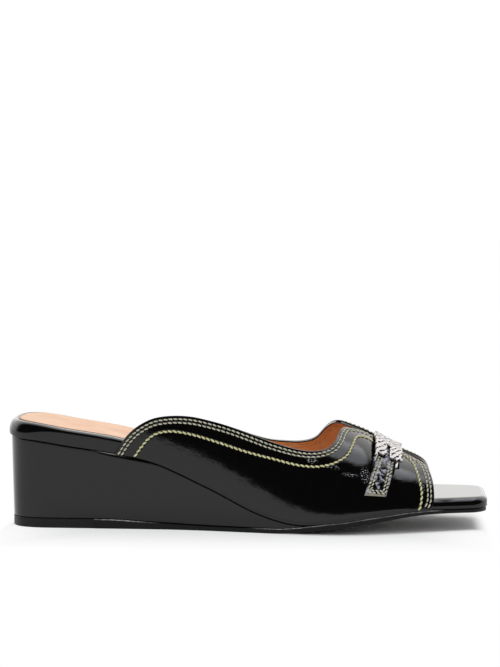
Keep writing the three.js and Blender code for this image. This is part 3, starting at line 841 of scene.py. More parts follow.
def peach_kid(look):
    """Peach kid sock: even, matt, with soft mottling and a very fine grain, and painted shade along its rounded edge.
    """
    body = look.body()
    mottle = look.noise(body, scale=70.0, detail=3.0)
    grain = look.noise(body, scale=2400.0, detail=4.0, roughness=0.65)
    hollow = look.noise(look.stretched(body, (0.5, 1.0, 1.0)), scale=45.0, detail=1.0)
    normal = look.bump(hollow, deep=0.25)
    peach = look.mix(look.step(mottle, 0.3, 0.75), rgb(238, 184, 142), rgb(246, 203, 168))
    return {
        # Painted shade: brown over the rounding of the sock's edge
        "Base_Color": look.mix(look.crest(look.fact("rim")), peach, rgb(118, 84, 66)),
        "Roughness": 0.5 + 0.12 * grain,
        "Specular_IOR_Level": 0.35,
        "Normal": look.bump(grain, deep=0.03, normal=normal),
    }


def thread_look(dark, light):
    """A thick waxed thread: two shades, with its twist as slanting ridges along the stitch."""
    def shade(look):
        form = look.form()
        twist = look.math("SINE", look.part(form, 0) * 9.0 + look.part(form, 1) * 3.1)
        shine = look.noise(look.body(), scale=500.0, detail=2.0)
        return {
            "Base_Color": look.mix(look.step(shine + 0.15 * twist, 0.3, 0.75), dark, light),
            "Roughness": 0.5 + 0.1 * shine,
            "Normal": look.bump(twist * 0.5 + 0.5, deep=0.06),
        }
    return shade


def strap_patent(look):
    """Patent of the strap tabs: crumpled between the stitch rows, with grey-beige cut edges and low end that are raw
    leather partly painted as a highlight, and painted glare on the crumples.
    """
    form = look.form()
    crumple = look.noise(form, scale=0.3, detail=3.0, roughness=0.5, distortion=0.5)
    pebble = look.noise(form, scale=1.3, detail=3.0)
    # The pale end is the raw leather's colour and a painted highlight on the end face
    end = look.step(look.fact("from_end_mm") + 0.8 * pebble, PALE_END_GONE, PALE_END_FULL)
    cut = look.step(look.fact("rim"), 0.3, 0.7)
    raw_and_highlight = look.math("MAXIMUM", end, CUT_PALE * cut)
    normal = look.bump(crumple, CRUMPLE_DEEP)
    normal = look.bump(pebble, deep=0.05, normal=normal)
    glare = look.step(crumple, 0.51, 0.57) * (1 - raw_and_highlight)
    black = look.mix(glare, rgb(9, 8, 9), rgb(178, 180, 200))
    return {
        "Base_Color": look.mix(raw_and_highlight, black, rgb(172, 169, 152)),
        "Roughness": 0.1 + 0.45 * raw_and_highlight,
        "IOR": PATENT_IOR,
        "Normal": normal,
    }


def engraved_silver(look):
    """Silver plate cut with short slanting strokes that are dark at the bottom.

    The strokes are the crests of a wave over the plate, bent by one noise and broken where another is low.
    """
    form = look.form()
    across = look.part(form, 0)
    down = look.part(form, 1)
    bend = look.noise(form, scale=0.3, detail=1.0)
    wave = look.math("SINE", across * 2.5 + down + bend * 6.0)
    broken = look.noise(form, scale=0.5, detail=1.0)
    cut = look.step(wave, 0.1, 0.5) * look.step(broken, 0.45, 0.5)
    fine = look.noise(form, scale=3.0, detail=3.0)
    normal = look.bump(1 - cut, deep=0.3)
    return {
        "Base_Color": look.mix(cut, rgb(178, 174, 173), rgb(14, 12, 13)),
        "Metallic": 1 - cut,
        "Roughness": 0.3 + 0.3 * cut + 0.1 * fine,
        "Specular_IOR_Level": 0.1,
        "Normal": look.bump(fine, deep=0.03, normal=normal),
    }


PATENT = material("upper_patent_black", upper_patent)
LINING = material("lining_tan", tan_lining)
# The wedge and the band each carry a painted highlight on their top rounding
WEDGE_PATENT = material("wedge_patent_black", sole_patent(
    pale=0.8, at=-0.066, reach=0.011, level=0.5, narrow=0.5))
BAND_PATENT = material("band_patent_black", sole_patent(
    pale=0.75, at=-0.079, reach=0.05, level=0.86, narrow=0.12))
LIFT_RUBBER = material("lift_rubber_black", sole_rubber(rgb(24, 20, 19), rgb(36, 32, 30), pale=0.0))
SOLE_RUBBER = material("sole_rubber_black", sole_rubber(rgb(13, 11, 11), rgb(24, 21, 21), pale=0.95))
KID = material("sock_kid_peach", peach_kid)
ROW_THREAD = material("row_thread_pale", thread_look(rgb(200, 199, 172), rgb(236, 234, 214)))
LINING_THREAD = material("lining_thread_tan", thread_look(rgb(188, 120, 76), rgb(222, 164, 118)))
LINE_THREAD = material("line_thread_yellow", thread_look(rgb(220, 217, 154), rgb(246, 244, 200)))
STRAP_PATENT = material("strap_patent_black", strap_patent)
SILVER = material("buckle_silver_engraved", engraved_silver)


# Sole

CORNER_POINTS = 160
BODY_POINTS = 500
SIDE_POINTS = 420
END_POINTS = 24
SEAM = 0.05
COVER_EASE = 11.0
COVER_LAP = 1.0
BED_END = SOCK_END + FIT_GAP
BED_RAMP = 0.8
SOCK_GAP = 0.15
HALVINGS = 24

# A face of a slab: its rings as shares of the outline, and how far its middle line stays from both ends
FACE_RINGS = np.array([0.985, 0.95, 0.88, 0.78, 0.64, 0.48, 0.3, 0.14, 0.0])
SPINE_IN = 20.0

# Layers of a rounding at a low edge, at a plain top edge and at one with a bed inside it, and between the edges
LOW_LAYERS = 5
TOP_LAYERS = 6
BED_LAYERS = 12
SIDE_LAYERS = 6
WEDGE_LAYERS = 14
SOCK_LAYERS = 2

# Radii of the roundings, and how much larger the wedge's is where its top shows as a ledge
LOW_ROUND = 0.3
LIFT_ROUND = 0.1
SOCK_LOW_ROUND = 0.1
SOCK_ROUND = 0.45
OUTSOLE_WIDE = 0.35
OUTSOLE_DEEP = 0.5
WEDGE_WIDE = 0.4
WEDGE_DEEP = 0.35
LEDGE_WIDE = 1.0
LEDGE_DEEP = 0.25

# Stretches along the sole, from and to: the taper growing from a share at the back, the outsole dropping at the toe,
# its lip in front of the breast fading out, and the ledge coming and going
BACK_TAPER = 0.4
TAPER_GROWS = (1.0, 12.0)
TOE_DROPS = (200.0, 236.0)
LIP = 0.35
LIP_RAMP = 2.0
LIP_FADES = (70.0, 90.0)
LEDGE_COMES = (44.0, 56.0)
LEDGE_GOES = (60.0, 80.0)


def ease(value, low, high):
    """0 up to low, 1 from high on, and a smooth rise between. Low may be the larger."""
    t = np.clip((value - low) / (high - low), 0.0, 1.0)
    return t * t * (3 - 2 * t)


def outline(start, end, half, has_heel=False, has_toe=False):
    """Line round one side of a part of the sole, from the middle of its back to the middle of its front.

    The heel is a quarter of a superellipse and the toe's corner a quarter circle. Square ends run straight across,
    and the third column gives their half-width, or 0 elsewhere.
    """
    turn = np.linspace(0.0, np.pi / 2, CORNER_POINTS)
    body_from = start + HEEL_ROUND if has_heel else start
    body_to = end - TOE_CORNER if has_toe else end
    body_s = np.linspace(body_from, body_to, BODY_POINTS)
    lines = [np.stack([body_s, half(body_s)], -1)]
    if has_heel:
        back_s = start + HEEL_ROUND * (1 - np.cos(turn) ** (2 / HEEL_POWER))
        lines.insert(0, np.stack([back_s, half(back_s) * np.sin(turn) ** (2 / HEEL_POWER)], -1))
    if has_toe:
        toe_s = end - TOE_CORNER * (1 - np.sin(turn))
        lines.append(np.stack([toe_s, half(toe_s) - TOE_CORNER * (1 - np.cos(turn))], -1))
    side = even_points(np.vstack(lines), SIDE_POINTS)
    side = np.column_stack([side, np.zeros(SIDE_POINTS)])
    across = np.linspace(0.0, 1.0, END_POINTS)
    front = np.stack([side[-1, 0] + 0 * across, side[-1, 1] * (1 - across), side[-1, 1] + 0 * across], -1)
    if has_toe:
        front[:, 2] = 0.0
    parts = [side[:-1], front]
    if not has_heel:
        back = np.stack([side[0, 0] + 0 * across, side[0, 1] * across, side[0, 1] + 0 * across], -1)
        parts = [back, side[1:-1], front]
    return np.vstack(parts)


def round_line(start, end, half, has_heel=False, has_toe=False):
    """Closed line round a part of the sole: its outer side from heel to toe, then its inner side back."""
    sides = [outline(start, end, lambda s, side=side: half(side, s), has_heel, has_toe) for side in SIDES]
    outer = sides[0] * [1, OUTER, 1]
    inner = sides[1] * [1, INNER, 1]
    return np.vstack([outer, inner[::-1][1:-1]])


def outward_of(line):
    """Unit normals of a closed line that runs along the outer side first."""
    ahead = np.roll(line, -1, axis=0) - np.roll(line, 1, axis=0)
    return unit(np.stack([ahead[:, 1], -ahead[:, 0]], -1))


def slab(line, start, end, layers):
    """A slab of the sole: the outline at each layer, and both faces filled in towards a line along its middle.

    A layer is an inset along the outline's normal and a height, both functions of the distance from the heel. A square
    end keeps its place and is only made narrower. A face shrinks the outline towards the nearest point of the middle
    line, with the height following the distance.
    """
    flat, reach = line[:, :2], line[:, 2]
    normal = outward_of(flat)
    is_square = reach > 0
    rings = []

    def ring(inset, height, share):
        amount = np.asarray(inset(flat[:, 0]))
        edge = flat - normal * amount[:, None]
        narrowed = np.stack([flat[:, 0], flat[:, 1] * (1 - amount / np.where(is_square, reach, 1.0))], -1)
        edge = np.where(is_square[:, None], narrowed, edge)
        middle = np.stack([np.clip(edge[:, 0], start + SPINE_IN, end - SPINE_IN), np.zeros(len(edge))], -1)
        spot = middle + (edge - middle) * share
        return np.column_stack([spot[:, 0] - SHOE_LENGTH / 2, spot[:, 1], height(spot[:, 0])])

    for share in FACE_RINGS[::-1]:
        rings.append(ring(*layers[0], share))
    for layer in layers:
        rings.append(ring(*layer, 1.0))
    for share in FACE_RINGS:
        rings.append(ring(*layers[-1], share))
    return np.stack(rings)


def steps_between(first, second, count):
    """Layers evenly spread between two layers, ends left out."""
    def blend(k):
        share = k / (count + 1)
        return (lambda s: first[0](s) * (1 - share) + second[0](s) * share,
                lambda s: first[1](s) * (1 - share) + second[1](s) * share)
    return [blend(k) for k in range(1, count + 1)]


def steady(value):
    return lambda s: np.full_like(s, value)


def evenly(inset, height, radius):
    """An edge whose rounding has the same radius all along."""
    return inset, height, steady(radius), steady(radius)


def rounded(inset, height, wide, deep, is_top, count):
    """Layers round an edge, a quarter ellipse: from the side to the face at the top, or from face to side below."""
    angles = np.linspace(0.0, np.pi / 2, count)
    if not is_top:
        angles = angles[::-1]
    way = 1 if is_top else -1

    def layer(angle):
        return (lambda s: inset(s) + wide(s) * (1 - math.cos(angle)),
                lambda s: height(s) - way * deep(s) * (1 - math.sin(angle)))
    return [layer(angle) for angle in angles]


def sole_piece(name, start, end, half, low, high, finish, side_layers=SIDE_LAYERS, inside=(), has_heel=False,
               has_toe=False):
    """A part of the sole between two edges, each an inset, a height, and the width and depth of its rounding.

    Layers named as inside follow the upper edge over the top face. The attribute rim rises from 0 to 1 over
    the upper rounding.
    """
    line = round_line(start, end, half, has_heel, has_toe)
    bottom = rounded(*low, is_top=False, count=LOW_LAYERS)
    top = rounded(*high, is_top=True, count=BED_LAYERS if inside else TOP_LAYERS)
    between = steps_between(bottom[-1], top[0], side_layers)
    grid = slab(line, start, end, [*bottom, *between, *top, *inside])
    first = len(FACE_RINGS) + len(bottom) + len(between)
    rim = np.zeros((len(grid), 1))
    rim[first:first + len(top), 0] = np.linspace(0.0, 1.0, len(top))
    surface = Surface()
    surface.add(grid, closed=True, rim=rim)
    return surface.build(name, [finish])


# Insets, heights and widths that the pieces of the sole are made with

def zero(s):
    """No inset, or a height on the floor."""
    return np.zeros_like(s)


def seam_at(s):
    return seat_at(s) + seam_lift(s)


def wedge_taper(s):
    """Inset at the wedge's foot: less at the back of the heel than along the sides."""
    return taper_at(s) * (BACK_TAPER + (1 - BACK_TAPER) * ease(s, *TAPER_GROWS))


def outsole_base(s):
    """The outsole's underside, which hangs a little lower at the toe than the plain spring."""
    return under_at(s) - TOE_DROP * ease(s, *TOE_DROPS)


def sole_margin(s):
    """Inset of the outsole, which stands out a little past the wedge just in front of the breast."""
    lip = LIP * ease(s, BREAST_AT - LIP_RAMP, BREAST_AT) * (1 - ease(s, *LIP_FADES))
    return np.maximum(taper_at(s) - lip, OUTSOLE_MARGIN)


def climb_at_height(side, s, height):
    """Climb at which the last passes a height: the range is halved until it is closed in on."""
    low = np.zeros_like(s)
    high = np.ones_like(s)
    for _ in range(HALVINGS):
        middle = (low + high) / 2
        is_under = last_point(side, s, middle)[..., 2] < height
        low = np.where(is_under, middle, low)
        high = np.where(is_under, high, middle)
    return low


def board_half(side, s):
    """Half-width of the footbed: the plan, eased in to lie against the inner side of the upper's wall."""
    plain = half_width(side, s)
    climb = climb_at_height(side, s, board_top(s))
    inside = np.abs(off_last(side, s, climb, np.full_like(s, -UPPER_WALL))[..., 1])
    behind = ease(s, UPPER_BACK - COVER_EASE, UPPER_BACK)
    ahead = ease(s, UPPER_FRONT - COVER_LAP, UPPER_FRONT + COVER_EASE)
    return plain + (np.minimum(plain, inside) - plain) * behind * (1 - ahead)


def bed_floor(s):
    """The floor of the sock's bed, with a short ramp up in front of the sock's end."""
    share = np.clip((BED_END + BED_RAMP - s) / BED_RAMP, 0.0, 1.0)
    return board_top(s) - (SOCK_THICK + FIT_GAP) * share


def sock_half(side, s):
    return board_half(side, s) - bed_edge(s) - SOCK_GAP


def ledge(s):
    """Share of the broad rounding where the wedge's top shows as a ledge behind the wing's end."""
    return ease(s, *LEDGE_COMES) * (1 - ease(s, *LEDGE_GOES))


place(sole_piece("heel_lift_rubber", HEEL_IN, BREAST_AT - SEAM, half_width,
                 evenly(wedge_taper, zero, LOW_ROUND), evenly(wedge_taper, tread_top, LIFT_ROUND),
                 LIFT_RUBBER, has_heel=True),
      "lift_rubber", "heel_lift")
place(sole_piece("outsole_rubber", BREAST_AT + SEAM, SHOE_LENGTH + TOE_OUT, half_width,
                 evenly(sole_margin, outsole_base, LOW_ROUND),
                 (sole_margin, tread_top, steady(OUTSOLE_WIDE), steady(OUTSOLE_DEEP)),
                 SOLE_RUBBER, has_toe=True),
      "outsole_rubber", "outsole")
place(sole_piece("wedge_cover", HEEL_IN, WEDGE_END, half_width,
                 evenly(wedge_taper, lambda s: tread_top(s) + FIT_GAP, LOW_ROUND),
                 (zero, seam_at, lambda s: WEDGE_WIDE + LEDGE_WIDE * ledge(s),
                  lambda s: WEDGE_DEEP + LEDGE_DEEP * ledge(s)),
                 WEDGE_PATENT, WEDGE_LAYERS, has_heel=True),
      "wedge_patent", "wedge")
place(sole_piece("footbed_band", -BAND_OUT, SHOE_LENGTH + TOE_OUT, board_half,
                 evenly(zero, lambda s: seam_at(s) + FIT_GAP, LOW_ROUND),
                 (zero, board_top, shoulder_wide, shoulder_deep),
                 BAND_PATENT, inside=[(bed_edge, bed_floor)], has_heel=True, has_toe=True),
      "footbed_patent", "footbed")
place(sole_piece("sock_leather", SOCK_GAP + SHOULDER_WIDE + BED_DRAFT, SOCK_END, sock_half,
                 evenly(zero, sock_base, SOCK_LOW_ROUND),
                 evenly(zero, lambda s: board_top(s) + SOCK_PROUD, SOCK_ROUND),
                 KID, SOCK_LAYERS, has_heel=True),
      "sock_kid", "sock")


# Upper

REAR_COLUMNS = 264
BRIDGE_COLUMNS = 14
TOE_COLUMNS = 100
CLIMB_ROWS = 62
ROW_CROWD = 1.7
EVEN_SHARE = 0.35
EDGE_ROUND = 0.5
INNER_ROUND = 0.3
RIM_SHARE = 0.9
FOOT_ROUND = 0.6
FAR = 99.0
CHUNKS = 60
EDGE_POINTS = 600
LINE_POINTS = 500

# Creases at the flex of the upper: both ends as distance from the heel and millimetres of girth, half-width and
# depth. Each fades out past a share of its length from its middle
CREASE_HALF = 0.35
CREASE_FADE = 0.02
CREASES = [
    ((150.0, 23.0), (158.0, 21.5), 0.9, 0.14),
    ((160.0, 24.5), (166.5, 20.5), 0.8, 0.12),
    ((168.0, 20.0), (174.0, 15.0), 0.8, 0.12),
    ((172.5, 26.0), (177.0, 19.0), 0.9, 0.14),
]


def nearest(points, line):
    """Distance from each point to the nearest point of a line."""
    flat = points.reshape(-1, 3)
    parts = [np.sqrt(((chunk[:, None] - line[None]) ** 2).sum(-1).min(1)) for chunk in np.array_split(flat, CHUNKS)]
    return np.concatenate(parts).reshape(points.shape[:-1])


def round_off(distance, radius):
    """How far a surface drops near an edge that is rounded by a radius: a quarter circle."""
    into = radius - np.clip(distance, 0.0, radius)
    return radius - np.sqrt(np.maximum(radius ** 2 - into ** 2, 0.0))


def creased(s, girth):
    """Depth of the creases: each is a bell-shaped trough with low ridges beside it, fading out at its ends."""
    depth = np.zeros_like(s)
    for (s0, g0), (s1, g1), width, deep in CREASES:
        length = math.hypot(s1 - s0, g1 - g0)
        t = ((s - s0) * (s1 - s0) + (girth - g0) * (g1 - g0)) / length ** 2
        away = ((s - s0) * (g1 - g0) - (girth - g0) * (s1 - s0)) / length
        fade = np.exp(-np.maximum(np.abs(t - 0.5) - CREASE_HALF, 0.0) ** 2 / CREASE_FADE)
        x = away / width
        depth += deep * fade * (1 - x ** 2) * np.exp(-x ** 2 / 2)
    return depth


def single_line(side):
    """The single line of stitches: the outer side's own table, and on the inner side scaled to its lower edge."""
    lines = []
    for table in (LINE_REAR, LINE_FRONT):
        knots = np.stack([table["s"], table["climb"] * GIRTH], -1)
        line = even_points(spline_line(knots), LINE_POINTS)
        s, climb = line[:, 0], line[:, 1] / GIRTH
        if side == INNER and table is LINE_REAR:
            outer_s, outer_climb = rear_edge(OUTER, EDGE_POINTS)
            inner_s, inner_climb = rear_edge(INNER, EDGE_POINTS)
            lower = np.interp(s, inner_s, inner_climb) / np.interp(s, outer_s, outer_climb)
            climb = climb * np.minimum(lower, 1.0)
        lines.append((s, climb))
    return lines


def upper_side(surface, side):
    """One side of the upper: outer and inner skin on a grid of columns from the sole's edge up to the free edge."""
    rear_s, rear_climb = rear_edge(side, REAR_COLUMNS)
    toe_s, toe_climb = toe_edge(side, TOE_COLUMNS)
    bridge = np.linspace(BRIDGE_BACK, BRIDGE_FRONT, BRIDGE_COLUMNS + 2)[1:-1]
    even = np.linspace(UPPER_BACK, BRIDGE_BACK, REAR_COLUMNS)
    toe_foot = np.linspace(BRIDGE_FRONT, toe_s[-1], TOE_COLUMNS)
    top_s = np.concatenate([rear_s, bridge, toe_s])[:, None]
    top_climb = np.concatenate([rear_climb, np.ones(BRIDGE_COLUMNS), toe_climb])[:, None]
    foot = np.concatenate([rear_s + (even - rear_s) * EVEN_SHARE, bridge, toe_foot])[:, None]
    share = 1 - (1 - np.linspace(0.0, 1.0, CLIMB_ROWS)) ** ROW_CROWD
    s = foot + (top_s - foot) * share
    foot_climb = climb_at_height(side, foot, seam_at(foot) + FIT_GAP)
    climb = foot_climb + (top_climb - foot_climb) * share
    girth = climb * GIRTH
    uv = np.stack([s, girth], -1)

    here = last_point(side, s, climb)
    edges = np.vstack([last_point(side, rear_s, rear_climb), last_point(side, toe_s, toe_climb)])
    edge = nearest(here, edges)
    line = nearest(here, np.vstack([last_point(side, *part) for part in single_line(side)]))
    above_foot = (climb - foot_climb) * GIRTH
    sunk = np.maximum(round_off(edge, EDGE_ROUND), round_off(above_foot, FOOT_ROUND)) + creased(s, girth)
    raised = round_off(edge, INNER_ROUND)
    skin = off_last(side, s, climb, -sunk)
    inside = off_last(side, s, climb, raised - UPPER_WALL)
    middle = off_last(side, s, climb, np.full_like(s, -RIM_SHARE * UPPER_WALL))
    facts = {"edge_mm": edge, "line_mm": line}
    none = {"edge_mm": FAR, "line_mm": FAR}
    turned = side == INNER
    surface.add(skin, uv, flip=turned, **facts)
    surface.add(inside, uv, number=1, flip=not turned, edge_mm=edge, line_mm=FAR)

    rear = slice(0, REAR_COLUMNS)
    toe = slice(REAR_COLUMNS + BRIDGE_COLUMNS, None)
    for part in (rear, toe):
        strip = np.stack([skin[part, -1], middle[part, -1], inside[part, -1]], 1)
        surface.add(strip, np.stack([uv[part, -1]] * 3, 1), flip=turned, **none)
    foot_strip = np.stack([skin[:, 0], inside[:, 0]], 1)
    surface.add(foot_strip, np.stack([uv[:, 0], uv[:, 0]], 1), flip=not turned, **none)
    surface.add(np.stack([skin[0], inside[0]], 1), np.stack([uv[0], uv[0]], 1), flip=turned, **none)
    surface.add(np.stack([skin[-1], inside[-1]], 1), np.stack([uv[-1], uv[-1]], 1), flip=not turned, **none)


def upper_shell():
    """Both sides of the upper, which meet at the crest."""
    surface = Surface()
    for side in SIDES:
        upper_side(surface, side)
    return surface.build("upper_shell", [PATENT, LINING])


place(upper_shell(), "upper_patent", "upper")


# Strap tabs and buckle

STRAP_EDGE = 0.45
STRAP_PUFF = 0.22
PUFF_SPREAD = 0.85
PUFF_LOW = -0.5
STRAP_STEPS = 90
TURN_POINTS = 9
FACE_POINTS = 40

# Near the low end a unit of climb is this share of the girth, and the end is thinned by this share
END_GIRTH = 0.85
END_THIN = 0.6

# Buckle: rows from the crest down to each climb, cells between two lines, a climb that is less than a row, which
# stretches between lines are the slot and the rails, and the softening of its edges
PLATE_ROWS = ((PLATE_FLAT, 12), (SLOT_HIGH, 10), (PLATE_MIDDLE, 12), (PLATE_LOW, 4), (RAIL_LOW, 8))
PLATE_CELLS = 5
SLIGHT = 0.001
SLOT_LINE = 2
RAIL_LINES = (0, 4)
BEVEL = 0.28
BEVEL_ANGLE = 50.0


def strap_middle(climb):
    return STRAP_AT - STRAP_LEAN * np.maximum(1 - climb, 0.0) ** STRAP_BEND


def strap_half(climb):
    share = np.clip((FLARE_HIGH - climb) / (FLARE_HIGH - FLARE_LOW), 0.0, 1.0)
    return (STRAP_NECK + (STRAP_WIDTH - STRAP_NECK) * share) / 2


def strap_tab(side):
    """A strap tab: a flat band's profile carried down the last, closed at both ends.

    The profile runs round the band: across its back, round one edge, across its face, which is puffed up between the
    stitch rows by a cosine, and round the other edge.
    """
    turn = np.linspace(-np.pi / 2, np.pi / 2, TURN_POINTS)
    face = np.linspace(1.0, -1.0, FACE_POINTS)[1:-1]
    across = np.concatenate([1 + 0 * turn, face, -1 + 0 * turn])
    tuck = np.concatenate([STRAP_EDGE * (1 - np.cos(turn)), 0 * face, STRAP_EDGE * (1 - np.cos(turn))])
    rise_right = STRAP_THICK / 2 + STRAP_THICK / 2 * np.sin(turn)
    puff = STRAP_PUFF * np.clip(np.cos(face * np.pi * PUFF_SPREAD), PUFF_LOW, 1.0) - STRAP_PUFF
    rise = np.concatenate([rise_right, STRAP_THICK + puff, rise_right[::-1]])
    is_edge = np.concatenate([1 + 0 * turn, 0 * face, 1 + 0 * turn])

    climb = np.linspace(STRAP_TOP, STRAP_LOW, STRAP_STEPS)[:, None]
    from_end = (climb - STRAP_LOW) * GIRTH * END_GIRTH
    end_tuck = round_off(from_end, STRAP_EDGE)
    half = strap_half(climb)
    s = strap_middle(climb) + np.sign(across) * (np.abs(across) * half - tuck)
    height = FIT_GAP + np.clip(rise, 0.0, STRAP_THICK) * (1 - end_tuck / STRAP_EDGE * END_THIN)
    grid = off_last(side, s, np.broadcast_to(climb, s.shape), height)
    uv = np.stack([np.broadcast_to(across * half, s.shape), np.broadcast_to(from_end, s.shape)], -1)
    facts = {"from_end_mm": from_end, "rim": is_edge}
    surface = Surface()
    surface.add(grid, uv, closed=True, flip=side == INNER, **facts)
    caps = ((grid[0], uv[0], side == OUTER), (grid[-1], uv[-1], side == INNER))
    for ring, ring_uv, is_turned in caps:
        centre = np.broadcast_to(ring.mean(0), ring.shape)
        surface.add(np.stack([ring, centre]), np.stack([ring_uv, ring_uv]), closed=True, flip=is_turned,
                    from_end_mm=0.0, rim=1.0)
    return surface.build("strap_tab_outer" if side == OUTER else "strap_tab_inner", [STRAP_PATENT])


def plate_lift(climb):
    """Height of the buckle's back off the last: close over the bridge, and clear of the tabs lower down."""
    return FIT_GAP + (STRAP_THICK + FIT_GAP) * ease(climb, PLATE_RISE, STRAP_TOP)


def plate_lines(climb):
    """Lines of the buckle at a climb, from the heel side to the toe side: plate edges, slot and the two rails."""
    middle = STRAP_AT - BUCKLE_OFFSET
    half = BUCKLE_LENGTH / 2
    clear = strap_half(climb) + RAIL_GAP
    is_rail = climb < PLATE_LOW + SLIGHT
    back = np.where(is_rail, strap_middle(climb) - clear - RAIL_WIDTH, middle - half)
    front = strap_middle(climb) + clear
    slot = middle - SLOT_OFFSET
    lines = [back, back + RAIL_WIDTH, slot - BUCKLE_SLOT / 2 + 0 * climb, slot + BUCKLE_SLOT / 2 + 0 * climb,
             front, front + RAIL_WIDTH, middle + half + 0 * climb]
    return np.stack(lines, -1)


def walled(surface, top, low, is_filled, uv):
    """A wall over a grid's filled cells: face, back, and a rim wherever a filled cell ends."""
    rows, cols = top.shape[:2]
    face = np.arange(rows * cols).reshape(rows, cols) + surface.count
    back = face + rows * cols
    around = np.pad(is_filled, 1)
    i, j = np.nonzero(is_filled)
    quads = [np.stack([face[i, j], face[i + 1, j], face[i + 1, j + 1], face[i, j + 1]], -1),
             np.stack([back[i, j + 1], back[i + 1, j + 1], back[i + 1, j], back[i, j]], -1)]
    sides = [((-1, 0), (0, 0), (0, 1)), ((1, 0), (1, 1), (1, 0)), ((0, -1), (1, 0), (0, 0)), ((0, 1), (0, 1), (1, 1))]
    for (di, dj), (i0, j0), (i1, j1) in sides:
        ends = ~around[i + 1 + di, j + 1 + dj]
        ei, ej = i[ends], j[ends]
        first, second = (ei + i0, ej + j0), (ei + i1, ej + j1)
        quads.append(np.stack([face[first], face[second], back[second], back[first]], -1))
    surface.points += [top.reshape(-1, 3), low.reshape(-1, 3)]
    surface.uvs += [uv.reshape(-1, 2)] * 2
    surface.quads.append(np.vstack(quads))
    surface.numbers.append(np.zeros(len(surface.quads[-1]), dtype=int))
    surface.count += 2 * rows * cols


def off_both(sides, s, climb, height):
    """Points at a height off the last, each row on its own side."""
    outer = off_last(OUTER, s, climb, height)
    inner = off_last(INNER, s, climb, height)
    return np.where((sides == OUTER)[:, None, None], outer, inner)


def buckle_plate():
    """The buckle: a wall bent over the crest on both sides.

    At each side it has a slot that is open downwards, and rails beside the tab.
    """
    spans = []
    above = 1.0
    for below, count in PLATE_ROWS:
        spans.append(np.linspace(above, below, count, endpoint=False))
        above = below
    climbs = np.append(np.concatenate(spans), above)
    sides = np.concatenate([np.full(len(climbs), OUTER), np.full(len(climbs) - 1, INNER)])
    order = np.concatenate([climbs[::-1], climbs[1:]])
    lines = plate_lines(order)
    share = np.linspace(0.0, 1.0, PLATE_CELLS, endpoint=False)
    fine = (lines[:, :-1, None] + (lines[:, 1:] - lines[:, :-1])[..., None] * share).reshape(len(order), -1)
    s = np.column_stack([fine, lines[:, -1]])
    climb = np.broadcast_to(order[:, None], s.shape)
    lift = plate_lift(climb)
    low = off_both(sides, s, climb, lift)
    top = off_both(sides, s, climb, lift + BUCKLE_THICK)
    cell_climb = np.minimum(order[:-1], order[1:])[:, None]
    cell_line = (np.arange(s.shape[1] - 1) // PLATE_CELLS)[None]
    is_rail_row = cell_climb < PLATE_LOW - SLIGHT
    is_rail_cell = np.isin(cell_line, RAIL_LINES)
    is_slot = (cell_line == SLOT_LINE) & (cell_climb < SLOT_HIGH - SLIGHT)
    is_filled = np.where(is_rail_row, is_rail_cell, ~is_slot)
    uv = np.stack([s, (1 - climb) * GIRTH * -sides[:, None]], -1)
    surface = Surface()
    walled(surface, top, low, is_filled, uv)
    piece = surface.build("buckle_plate", [SILVER])
    bevel = piece.modifiers.new("soft_edges", "BEVEL")
    bevel.width = BEVEL * MM
    bevel.segments = 2
    bevel.limit_method = "ANGLE"
    bevel.angle_limit = math.radians(BEVEL_ANGLE)
    return piece


for side, node in ((OUTER, "strap_outer"), (INNER, "strap_inner")):
    place(strap_tab(side), "strap_patent", node)
place(buckle_plate(), "buckle_silver", "buckle")


# Stitching

# How far beside a plate's edge or a tab's, and how far below them in climb, a stitch is left out
PLATE_SIDE = 0.2
PLATE_UNDER = 0.01
TAB_SIDE = 0.8
TAB_UNDER = 0.02

# A stitch's rings and their points, how blunt its ends are, and its bow and dive as shares of its thickness
THREAD_RINGS = 9
THREAD_POINTS = 8
THREAD_BLUNT = 0.4
THREAD_BOW = 0.28
THREAD_DIVE = 0.55
THREAD_MERGE = 0.002

# Rows on the tabs: insets from an edge, how much further in the low ends are, and how deep the thread lies
TAB_INSETS = (0.85, 2.15)
TAB_END_IN = 0.9
TAB_SUNK = 0.12
TAB_TOP_IN = 0.005

# Points of the lines that rows of stitches follow
REAR_ROW_POINTS = 900
TOE_ROW_POINTS = 500
TAB_ROW_POINTS = 160
TAB_END_POINTS = 40


def is_hidden(s, climb):
    """Whether a place on the upper lies under the buckle's plate or a strap tab."""
    middle = STRAP_AT - BUCKLE_OFFSET
    under_plate = (np.abs(s - middle) < BUCKLE_LENGTH / 2 + PLATE_SIDE) & (climb > PLATE_LOW - PLATE_UNDER)
    under_tab = (np.abs(s - strap_middle(climb)) < strap_half(climb) + TAB_SIDE) & (climb > STRAP_LOW - TAB_UNDER)
    return under_plate | under_tab


